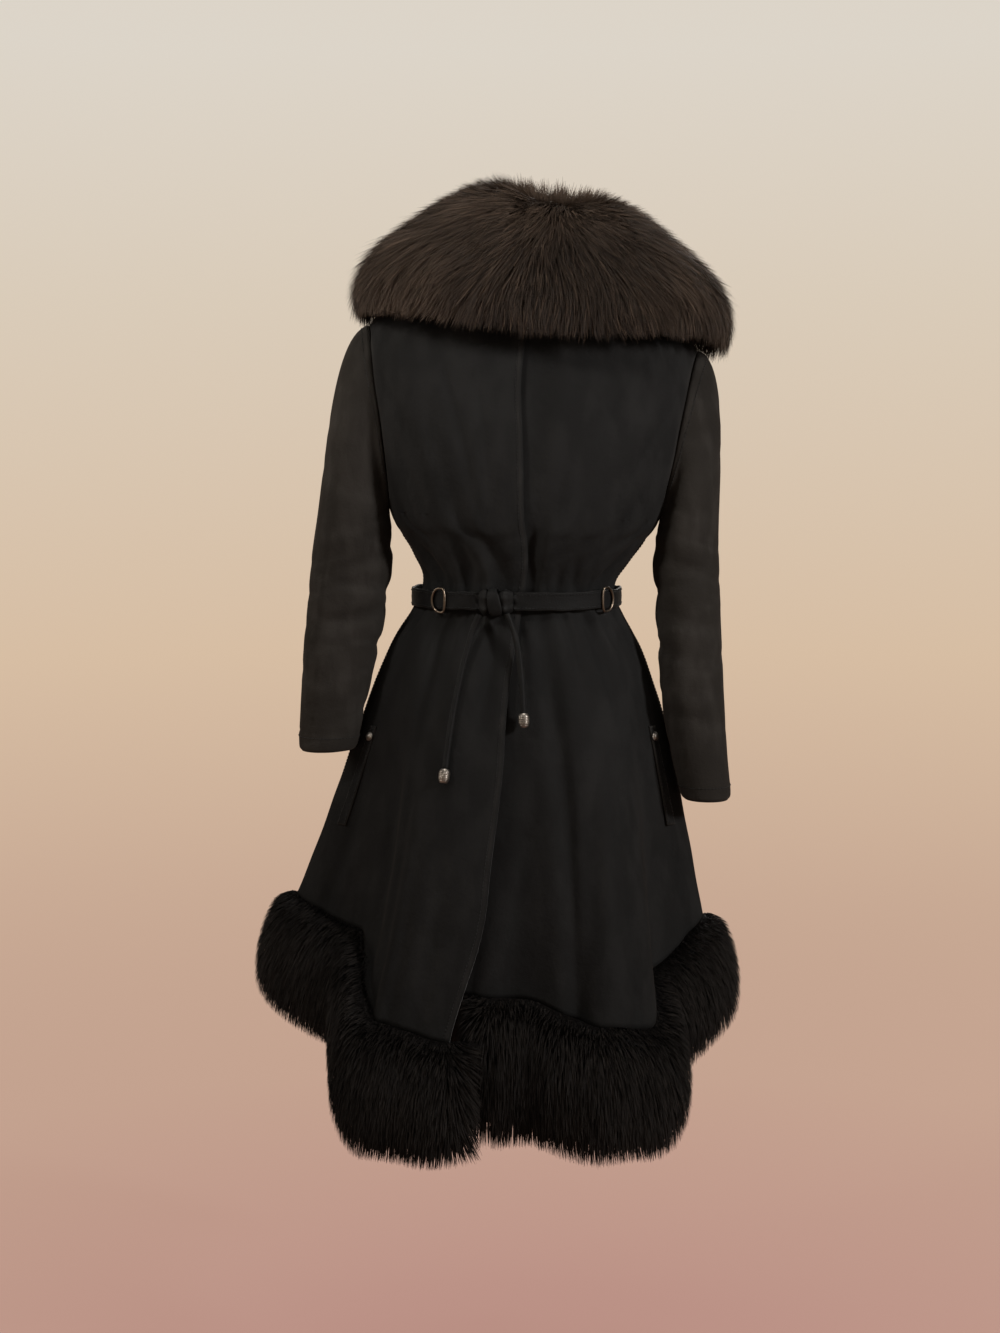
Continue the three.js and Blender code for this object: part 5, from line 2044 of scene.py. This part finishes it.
@dataclass
class HemFur:
    """The long-haired roll round the hem, one strip to each panel."""

    form: CoatForm
    furrier: Furrier
    columns: int = 60
    hairs: int = 20000
    open_start: float = -9.5
    open_end: float = -8.0
    rows: int = 37
    end_size: float = 0.6
    kept_height: float = 12.0
    first_spill: float = 16.0
    last_spill: float = 24.0
    style: HairStyle = HairStyle(lock=8, stand=0.5, gather=0.1, ragged=0.07, width=1.5, wave=0.5)

    def strip(
        self,
        name: str,
        angles: Array,
        folds: Sequence[Fold],
        first: float,
        last: float,
        drop: Sequence[tuple[float, float, float]],
    ) -> None:
        """Builds a strip along the hem.

        Args:
            name: The panel's name.
            angles: Degrees of its columns.
            folds: The layer's folds.
            first: Over how many degrees its first end is rounded.
            last: Over how many degrees its last end is rounded.
            drop: Where it hangs lower or higher than the others: degrees, spread in degrees, and share.
        """
        form = self.form
        edge = form.point(angles, form.hem_row, folds)
        along = form.along(angles, form.hem_row, folds, 1)
        from_cloth = unit(edge - form.point(angles, form.hem_row - 0.4, folds))
        out = unit(np.cross(from_cloth, along)) * 0.85 + radial(angles) * 0.15
        out[:, 2] = 0
        out = unit(out)
        down = unit(from_cloth * 0.35 - UP * 0.65)
        from_first, from_last = angles - angles[0], angles[-1] - angles
        begun = np.sqrt(clamp01((from_first + self.end_size) / first)) if first else np.ones_like(angles)
        ended = np.sqrt(clamp01((from_last + self.end_size) / last)) if last else np.ones_like(angles)
        size = np.minimum(begun, ended)
        fall = (0.9 + 0.1 * size) * (1 + sum(extra * bump(angles - at, over) for at, over, extra in drop))
        index = np.linspace(0, len(HEM_SECTION) - 1, self.rows)
        rows, kept = curve_at(HEM_SECTION, index), self.kept_height

        def places(outward: Array, below: Array) -> Array:
            """Points of the section all along the hem."""
            sunk = np.where(below > kept, kept + (below - kept) * fall[None, :], below)
            return edge + out * (outward * size[None, :])[..., None] + down * sunk[..., None]

        skin = places(rows[:, 0:1], rows[:, 1:2])
        tips = places(rows[:, 2:3], rows[:, 3:4])
        spill = np.zeros_like(size)
        if first:
            spill -= (1 - smooth(clamp01(from_first / first))) * self.first_spill
        if last:
            spill += (1 - smooth(clamp01(from_last / last))) * self.last_spill
        tips = tips + unit(along) * spill[:, None]
        columns = np.ones(skin.shape[1])
        cover = np.interp(index, [0, 1, 9, 11, 14], [0.5, 1, 1, 0.6, 0.4])[:, None] * columns
        # painted shadow: the first rows of hair, just under the cloth's edge, darken to paint the shadow that the edge
        # casts on the roll
        shade = np.interp(index, [0, 2, 3.5, 14], [1, 0.9, 0, 0])[:, None] * columns
        pelt = Pelt(f"hem_pelt_{name}", f"fur_{name}", skin, tips, cover, shade)
        hairs = {f"hem_hair_{name}": (0, len(angles) - 1, self.hairs)}
        self.furrier.make(pelt, self.furrier.wardrobe.hem_fur, hairs, self.style)

    def build(self) -> None:
        """Builds the four strips."""
        form = self.form
        hem = np.array(form.hem_row)
        side, back = float(form.front_side(hem)), float(form.back_side(hem))
        middle = float(form.seam(hem, 1.25))
        spans = (
            (
                "front_right", -side, self.open_end, WRAP_FOLDS, 0, 6,
                ((-38, 13, 0.08), (-8, 9, -0.05), (-90, 14, -0.06)),
            ),
            ("front_left", self.open_start, side, HEM_FOLDS, 9, 0, ((-4, 12, 0.17), (14, 14, 0.1), (30, 20, 0.03))),
            ("back_left", 180 - back, 180 - middle, HEM_FOLDS, 0, 0, ()),
            ("back_right", 180 + middle, 180 + back, HEM_FOLDS, 0, 0, ((256, 14, -0.15),)),
        )
        for name, start, end, folds, first, last, drop in spans:
            self.strip(name, np.linspace(start, end, self.columns), folds, first, last, drop)


# ---- Belt, knot, tails, beads and rings ----


@dataclass
class Belt:
    """The tied leather belt with its two beaded tails and two rings."""

    form: CoatForm
    wardrobe: Wardrobe
    height: float = 24.0
    thickness: float = 4.0
    clearance: float = 7.6
    knot_angle: float = -11.0
    knot_half: float = 9.5
    tail_diameter: float = 8.0
    bead_diameter: float = 15.0
    bead_length: float = 18.0
    groove_inset: float = 3.4
    edges: list[Array] = field(default_factory=list)

    def frame_at(self, angle: Any) -> tuple[Array, Array, Array]:
        """Points on the belt's inner middle line, and the ways out and along, at angles.

        Args:
            angle: Degrees from the front, towards the wearer's left.

        Returns:
            The points, the ways out and the ways along.
        """
        angle = np.asarray(angle, float)
        row = self.form.waist_row
        along = self.form.along(angle, row, HEM_FOLDS, 3, plain=True)
        along[..., 2] = 0
        along = unit(along)
        out = np.stack([along[..., 1], -along[..., 0], np.zeros_like(along[..., 0])], axis=-1)
        centre = self.form.point(angle, row, HEM_FOLDS, plain=True) + out * self.clearance
        centre[..., 2] = self.form.waist
        return centre, out, along

    def build_band(self) -> None:
        """Builds the band round the waist."""
        angles = np.linspace(self.knot_angle + self.knot_half, self.knot_angle + 360 - self.knot_half, 150)
        centre, out, _ = self.frame_at(angles)
        half, thick = self.height / 2, self.thickness
        turns = circle(28)
        off = thick / 2 + thick / 2 * squared(np.cos(turns), 3.2)
        up = -half * squared(np.sin(turns), 9)
        sway = 0.5 * np.sin(np.radians(angles) * 9) + 0.35 * np.sin(np.radians(angles) * 23 + 1)
        groove = 0.45 * bump(abs(up) - (half - self.groove_inset), 1.1)
        rings = centre[:, None] + out[:, None] * (off - np.where(np.cos(turns) > 0, groove, 0))[None, :, None]
        rings = rings + UP * (up[None, :] + sway[:, None])[..., None]
        surface = tube(rings)
        rubbed = np.tile(clamp01((abs(up) - half + 1.6) / 1.6), len(angles))
        surface.values["rubbed"] = np.concatenate([rubbed, [0, 0]])
        piece = surface.build("belt_band", [self.wardrobe.strap], outwards=True)
        dress(piece, ["belt"])
        face = centre + out * (thick + 0.05)
        for level in (half - self.groove_inset, self.groove_inset - half):
            self.edges.append(face + UP * (level + sway)[:, None])

    def build_knot(self) -> None:
        """Builds the knot: two folded loops drawn together by the band that crosses them."""
        reach = self.knot_half - 0.22
        table = (
            (-1, 11, 2.2),
            (-0.86, 14, 6),
            (-0.55, 17, 9.6),
            (-0.3, 14, 9),
            (-0.12, 12, 8),
            (0.12, 12, 8),
            (0.3, 14, 9),
            (0.55, 16.4, 9.6),
            (0.86, 14, 6),
            (1, 11, 2.2),
        )
        index = np.linspace(0, len(table) - 1, 56)
        place, half, thick = curve_at(table, index).T
        centre, out, _ = self.frame_at(self.knot_angle + place * reach)
        middle = centre + out * np.maximum(self.thickness / 2, thick - 4)[:, None]
        turns = circle(40)
        pleats = 1.1 * np.sin(turns * 7 + 0.6) * np.clip(np.cos(turns), 0, 1)
        soft = np.sin(np.pi * np.clip((abs(place) - 0.1) / 0.9, 0, 1)) ** 0.5
        proud = thick[:, None] * squared(np.cos(turns), 2.6) - pleats[None, :] * soft[:, None]
        rings = middle[:, None] + out[:, None] * proud[..., None]
        rings = rings - UP * (half[:, None] * squared(np.sin(turns), 2.6))[..., None]
        loops = tube(rings)
        loops.values["rubbed"] = np.full(len(loops.points), 0.35)
        off, tilt, deep, high, wide, thick = 7.6, math.radians(9), 11.0, 17.6, 7.0, 1.6
        middle, out, along = (value[0] for value in self.frame_at(np.array([self.knot_angle])))
        middle = middle + out * off
        across = along * math.cos(tilt) + UP * math.sin(tilt)
        upward = np.cross(out, across)
        upward *= np.sign(upward[2])
        turns = circle(56)
        ring_out, ring_up = deep * squared(np.cos(turns), 2.7), high * squared(np.sin(turns), 2.5)
        outward = unit(out * np.cos(turns)[:, None] * 1.4 + upward * np.sin(turns)[:, None])
        widths = wide + 1.6 * np.cos(turns * 2 + 0.5)
        section = circle(14)
        spine = middle + out * ring_out[:, None] + upward * ring_up[:, None]
        rounds = spine[:, None] + across * (widths[:, None] * squared(np.cos(section), 4)[None, :])[..., None]
        rounds = rounds + outward[:, None] * (thick * squared(np.sin(section), 3)[None, :])[..., None]
        wrap = tube(rounds, joined=True)
        wrap.values["rubbed"] = np.tile(clamp01(abs(np.cos(section)) ** 6), len(turns))
        piece = joined("knot_loops", [loops, wrap], [self.wardrobe.strap])
        dress(piece, ["belt_knot"])

    def tail_line(self, side: Side) -> Array:
        """The middle line of a tail.

        Args:
            side: The wearer's side.

        Returns:
            Its points, from the knot down.
        """
        routes = {
            Side.RIGHT: ((-18.5, -425.5, 17), (-21, -450, 11), (-23, -500, 8), (-24, -560, 8), (-24, -616, 8)),
            Side.LEFT: ((-3.5, -424.6, 18), (-1, -448, 14), (1, -480, 12), (2, -515, 11), (2.5, -546, 10)),
        }
        folds = WRAP_FOLDS if side is Side.RIGHT else HEM_FOLDS
        angle, height, off = np.array(routes[side], float).T
        point, out = self.form.skirt_place(angle, height, folds)
        return curve_at(point + out * off[:, None], np.linspace(0, 4, 65))

    def build_tail(self, side: Side) -> None:
        """Builds a tail, rolled from a strip of leather, and its bead.

        Args:
            side: The tail's side.
        """
        line = self.tail_line(side)
        heading = unit(np.gradient(line, axis=0))
        first = unit(np.cross(heading, np.array([0.0, 1.0, 0.0])))
        second = np.cross(heading, first)
        turns = circle(18)
        walked, lay, groove_depth, groove_width = lengths_along(line, 0), 34, 0.75, 0.34
        radius = self.tail_diameter / 2 * (1 + 0.04 * np.sin(walked / 11) + 0.02 * np.sin(walked / 4.3))
        lap = (turns[None, :] - walked[:, None] / lay) % (2 * math.pi)
        groove = groove_depth * bump(np.minimum(lap, 2 * math.pi - lap), groove_width)
        step = 0.35 * (lap / (2 * math.pi))
        size = (radius[:, None] - groove + step - 0.2)[..., None]
        rings = line[:, None] + size * (
            first[:, None] * np.cos(turns)[None, :, None] + second[:, None] * np.sin(turns)[None, :, None]
        )
        surface = tube(rings)
        rubbed = clamp01(0.2 + 0.5 * bump(lap - 0.7, 0.35)).ravel()
        surface.values["rubbed"] = np.concatenate([rubbed, [0, 0]])
        piece = surface.build(f"strap_tail_{side.word}", [self.wardrobe.strap], outwards=True)
        bead = self.build_bead(side, line[-1], heading[-1])
        dress(piece, [f"tail_{side.word}"])
        length = float(walked[-1]) * MM
        path = [tuple(point) for point in (line[::2] * MM).tolist()]
        LOG.info("%s: %.3f m long", piece.name, length)
        tuple((line[0] * MM).tolist())

    def build_bead(self, side: Side, at: Array, heading: Array) -> Thing:
        """Builds the turned metal bead at a tail's end.

        Args:
            side: The wearer's side.
            at: Where it starts.
            heading: The way that it hangs.

        Returns:
            The bead.
        """
        size, length, sides = self.bead_diameter / 2, self.bead_length, 28
        share = np.linspace(0, 1, 61)
        barrel = np.interp(share, [0, 0.14, 0.35, 0.7, 0.86, 1], [0.66, 0.9, 1, 0.96, 0.82, 0.6])
        grooves = sum(bump(share - middle, 0.018) for middle in (0.17, 0.3, 0.43, 0.56, 0.69, 0.82))
        radii = size * (barrel - 0.075 * grooves)
        profile = [(0.0, 0.0), *zip(radii, share * length), (0.0, length)]
        surface = lathe(profile, sides, at + heading * 0.3, heading)
        hollow = np.concatenate([[0.6], clamp01(grooves + 0.15), [0.6]])
        surface.values["hollow"] = np.concatenate([np.repeat(hollow, sides), [0.6, 0.6]])
        piece = surface.build(f"metal_bead_{side.word}", [self.wardrobe.nickel], outwards=True)
        return dress(piece, [f"bead_{side.word}"])

    def build_ring(self, name: str, angle: float) -> None:
        """Builds a D-shaped ring that lies on the belt.

        Args:
            name: The ring's side.
            angle: Where it lies on the belt, in degrees.
        """
        wire, wide, high = 3.4, 13.0, 15.5
        centre, out, along = (value[0] for value in self.frame_at(np.array([angle])))
        middle = centre + out * (self.thickness + wire / 2 - 0.15)
        turns = circle(56)
        cosine, sine = np.cos(turns), np.sin(turns)
        reach = np.where(cosine * np.sign(angle) > 0, wide * cosine, wide * squared(cosine, 6) * 0.6)
        line = middle + along * reach[:, None] + UP * (high * sine)[:, None]
        way = unit(along * cosine[:, None] + UP * sine[:, None])
        around = circle(16)
        rings = line[:, None] + wire / 2 * (
            way[:, None] * np.cos(around)[None, :, None] + out * np.sin(around)[None, :, None]
        )
        surface = tube(rings, joined=True)
        surface.values["hollow"] = np.tile(clamp01(-np.sin(around)), len(turns))
        piece = surface.build(f"metal_ring_{name}", [self.wardrobe.dark_nickel], outwards=True)
        dress(piece, [f"ring_{name}"])

    def build(self) -> None:
        """Builds the belt and all that hangs on it, the cords first."""
        for side in Side:
            self.build_tail(side)
        self.build_band()
        self.build_knot()
        self.build_ring("right", -45)
        self.build_ring("left", 56)


def joined(name: str, parts: Sequence[Surface], materials: Sequence[Material]) -> Thing:
    """Builds several bodies as one piece, with the values that the first of them has.

    Args:
        name: The piece's name.
        parts: The bodies.
        materials: The piece's finishes.

    Returns:
        The piece.
    """
    points, faces, uvs, shift = [], [], [], 0
    for part in parts:
        points.append(part.points)
        faces += [[number + shift for number in face] for face in part.faces]
        uvs.append(part.uvs)
        shift += len(part.points)
    values = {word: np.concatenate([part.values[word] for part in parts]) for word in parts[0].values}
    whole = Surface(np.concatenate(points), faces, [0] * len(faces), np.concatenate(uvs), values)
    return whole.build(name, materials, outwards=True)


# ---- Side pockets ----


@dataclass
class Pockets:
    """Two slanted pockets, each a raised welt with a stud above it."""

    form: CoatForm
    wardrobe: Wardrobe
    top: float = -572.0
    foot: float = -702.0
    top_angle: float = 69.0
    foot_angle: float = 72.0
    width: float = 4.2
    thickness: float = 2.5
    clear: float = 0.55
    face_width: float = 17.0
    stud_below: float = 14.0
    stud_diameter: float = 12.0
    lines: list[Array] = field(default_factory=list)

    def build(self) -> None:
        """Builds both pockets."""
        for side in Side:
            folds = HEM_FOLDS if side is Side.LEFT else WRAP_FOLDS
            lift = self.clear + self.thickness
            share = np.linspace(0, 1, 45)[:, None]
            height = self.top + (self.foot - self.top) * share
            middle = side.value * (self.top_angle + (self.foot_angle - self.top_angle) * share)
            across = np.linspace(-0.5, 0.5, 15)[None, :]
            point, out = self.form.skirt_place(middle + across * self.width, height, folds)
            from_ends = np.minimum(share, 1 - share) * abs(self.foot - self.top)
            edge = np.minimum(from_ends, (0.5 - abs(across)) * self.face_width)
            crown = 1.1 * (1 - np.exp(-edge / 1.6)) - 0.5 * bump(across * self.face_width - 1.0, 1.3)
            outer = point + out * (lift + crown - 1.0)[..., None]
            inner = point + out * self.clear
            surface = shell(outer, inner, flat_places(outer), values={"rubbed": clamp01(bump(edge, 1.8))})
            piece = surface.build(f"welt_{side.word}", [self.wardrobe.suede] * 3)
            dress(piece, [f"pocket_welt_{side.word}"])
            "cloth_front_" + side.word
            for column in (2, 12):
                self.lines.append(outer[2:-2, column] + out[2:-2, column] * 0.25)
            self.build_stud(side, folds, lift)

    def build_stud(self, side: Side, folds: Sequence[Fold], lift: float) -> None:
        """Builds a domed stud on a stepped rim.

        Args:
            side: The wearer's side.
            folds: The folds of the layer.
            lift: How far its foot stands off the cloth.
        """
        angle, height = side.value * self.top_angle, self.top - self.stud_below
        point, out = self.form.skirt_place(np.array([angle]), np.array([height]), folds)
        dome = [(math.cos(t) * 0.8, 1.5 + math.sin(t) * 2.9) for t in np.linspace(0.05, math.pi / 2, 14)]
        profile = [(0.0, 0.0), (0.78, 0.0), (0.8, 0.7), (0.98, 0.8), (1.0, 1.1), (0.95, 1.4), (0.84, 1.3), *dome]
        size, sides = self.stud_diameter / 2, 44
        surface = lathe([(r * size, h) for r, h in profile], sides, point[0] + out[0] * (lift + 0.4), out[0])
        hollow = np.array([0.2, 0.2, 0.3, 0.0, 0.0, 0.5, 1.0] + [0.15] * len(dome))
        surface.values["hollow"] = np.concatenate([np.repeat(hollow, sides), [0.2, 0.0]])
        piece = surface.build(f"stud_{side.word}", [self.wardrobe.nickel], outwards=True)
        dress(piece, [f"pocket_stud_{side.word}"])


# ---- Seams' stitches ----


def stitch_all(
    sewing: Sewing, panels: dict[str, Panel], sleeves: Sleeves, belt: Belt, pockets: Pockets
) -> None:
    """Sews the lines that show.

    Args:
        sewing: The needle.
        panels: The four panels.
        sleeves: The sleeves.
        belt: The belt.
        pockets: The pockets.
    """
    proud = 0.3
    below_collar, below_armhole = slice(9, -1), slice(40, -1)
    table = (
        ("cloth_front_right", below_collar, -6),
        ("cloth_front_left", below_collar, 5),
        ("cloth_front_right", below_armhole, 5),
        ("cloth_front_left", below_armhole, -6),
        ("cloth_back_left", below_armhole, 5),
        ("cloth_back_right", below_armhole, -6),
        ("cloth_back_left", below_collar, -6),
        ("cloth_back_right", below_collar, 5),
    )
    seams = [panels[name].grid[rows, at] + panels[name].normals[rows, at] * proud for name, rows, at in table]
    cuffs = []
    for grid in sleeves.grids.values():
        raised = closed(grid + grid_normals(grid, around=True) * proud)
        walked = lengths_along(grid, 0)
        for distance, measured in ((8.0, walked), (22.0, walked[-1] - walked)):
            cuffs.append(raised[np.abs(measured.mean(axis=1) - distance).argmin()])
    sewing.stitch("stitches_panels", seams)
    sewing.stitch("stitches_sleeves", cuffs)
    sewing.stitch("stitches_belt", belt.edges)
    sewing.stitch("stitches_welts", pockets.lines)


# ---- Studio ----


@dataclass(frozen=True)
class Studio:
    """The camera, a pale seamless bowl that glows with painted light, and soft lights."""

    place: tuple[float, float, float] = (-0.054, -3.2, -0.15)
    tilt: float = 3.08
    lens: float = 65.25
    shift: float = -0.1
    sensor: float = 36.0
    floor: float = -1.5
    floor_radius: float = 4.2
    bend: float = 2.4
    bowl_height: float = 3.6
    sides: int = 96
    glow_span: float = 4.8
    # The backdrop's glow, painted light from dim pink at the floor to pale at the top.
    gradient: tuple[tuple[float, tuple[float, float, float]], ...] = (
        (0.025, (0.44, 0.24, 0.2)),
        (0.096, (0.51, 0.33, 0.25)),
        (0.42, (0.655, 0.495, 0.355)),
        (0.75, (0.675, 0.585, 0.475)),
        (0.96, (0.695, 0.645, 0.57)),
    )

    def camera(self) -> None:
        """Sets up the camera."""
        data = bpy.data.cameras.new("camera")
        data.lens, data.sensor_width, data.sensor_fit = self.lens, self.sensor, "AUTO"
        data.shift_y = self.shift
        camera = set_down("camera", data)
        camera.location = self.place
        camera.rotation_euler = (math.radians(90 - self.tilt), 0, 0)
        bpy.context.scene.camera = camera

    def backdrop(self) -> None:
        """Builds the bowl, a floor that curves up all round, which glows with painted light: paler towards the top,
        dimmer and pinker towards the floor.
        """
        flat, bend, sides = self.floor_radius, self.bend, self.sides
        profile = [(radius, 0.0) for radius in np.linspace(0.4, flat, 10)]
        steps = np.linspace(0, math.pi / 2, 13)[1:]
        profile += [(flat + bend * math.sin(t), bend * (1 - math.cos(t))) for t in steps]
        profile.append((flat + bend, self.bowl_height))
        points = [
            (radius * math.cos(t), radius * math.sin(t), self.floor + height)
            for radius, height in profile
            for t in circle(sides)
        ]
        i, j = cells(len(profile) - 1, sides)
        far = (j + 1) % sides
        faces = np.stack([i * sides + j, i * sides + far, (i + 1) * sides + far, (i + 1) * sides + j], axis=-1)
        mesh = bpy.data.meshes.new("backdrop")
        mesh.from_pydata(points, [], [*faces.tolist(), list(range(sides))[::-1]])
        mesh.polygons.foreach_set("use_smooth", [True] * len(mesh.polygons))
        shader = {"Roughness": 1.0, "Specular IOR Level": 0.0, "Emission Strength": 1.0}
        skin = Skin("backdrop", {**shader, "Base Color": (0.045, 0.038, 0.034, 1.0)})
        level = skin.number("ShaderNodeSeparateXYZ", {}, {0: skin.place}, 2)
        rise = (level + (skin.place * (1.0, 1.0, 0.0)).length() * 0.28 - self.floor) / self.glow_span
        # painted light: the bowl glows along the gradient, by height and distance from the middle
        glow = skin.ramp(rise, [(share, (*colour, 1.0)) for share, colour in self.gradient])
        mesh.materials.append(skin.paint({"Emission Color": glow}))
        set_down("backdrop", mesh)

    def lights(self) -> None:
        """Sets up broad soft lights, and a pale sky."""
        for name, place, size, power, spread, target, colour in (
            ("key", (2.95, -2.15, 0.8), 0.45, 22.5, 60.0, (0.0, 0.0, -0.2), (1.0, 0.98, 0.97)),
            ("fill", (-3.3, 0.1, 0.5), 1.2, 7.0, 60.0, (0.0, 0.0, -0.3), (1.0, 0.94, 0.86)),
            ("collar_key", (-2.6, -2.3, 2.2), 0.8, 5.0, 22.0, (-0.09, 0.0, 0.13), (1.0, 0.96, 0.9)),
            ("top", (0.0, -0.4, 3.4), 1.6, 7.0, 40.0, (0.0, 0.0, 0.0), (1.0, 0.96, 0.9)),
            ("back", (1.2, 4.0, 1.6), 2.4, 20.0, 70.0, (0.0, 0.0, -0.45), (1.0, 0.95, 0.9)),
        ):
            data = bpy.data.lights.new(name, "AREA")
            data.shape, data.size, data.energy, data.color = "DISK", size, power, colour
            data.spread = math.radians(spread)
            light = set_down(name, data)
            light.location = place
            aim = Vector(target) - Vector(place)
            light.rotation_euler = aim.to_track_quat("-Z", "Y").to_euler()
            light.visible_camera = False
        world = bpy.data.worlds.new("sky")
        world.use_nodes = True
        background = world.node_tree.nodes["Background"]
        background.inputs[0].default_value = (0.95, 0.93, 0.9, 1.0)
        background.inputs[1].default_value = 0.35
        bpy.context.scene.world = world

    def build(self) -> None:
        """Sets up everything but the camera."""
        bpy.context.scene.view_settings.view_transform = "Standard"
        self.backdrop()
        self.lights()


def main() -> None:
    """Dresses the coat."""
    logging.basicConfig(level=logging.INFO, format="%(name)s: %(message)s", force=True)
    studio = Studio()
    studio.camera()
    wardrobe = Wardrobe()
    form = CoatForm()
    belt = Belt(form, wardrobe)
    belt.build()
    panels = Panels(form, wardrobe).build()
    sleeves = Sleeves(form, wardrobe)
    sleeves.build()
    furrier = Furrier(fur_tree(), wardrobe)
    Collar(form, furrier).build()
    HemFur(form, furrier).build()
    pockets = Pockets(form, wardrobe)
    pockets.build()
    stitch_all(Sewing(stitch_tree(), wardrobe.thread), panels, sleeves, belt, pockets)
    studio.build()


if __name__ == "__main__":
    main()
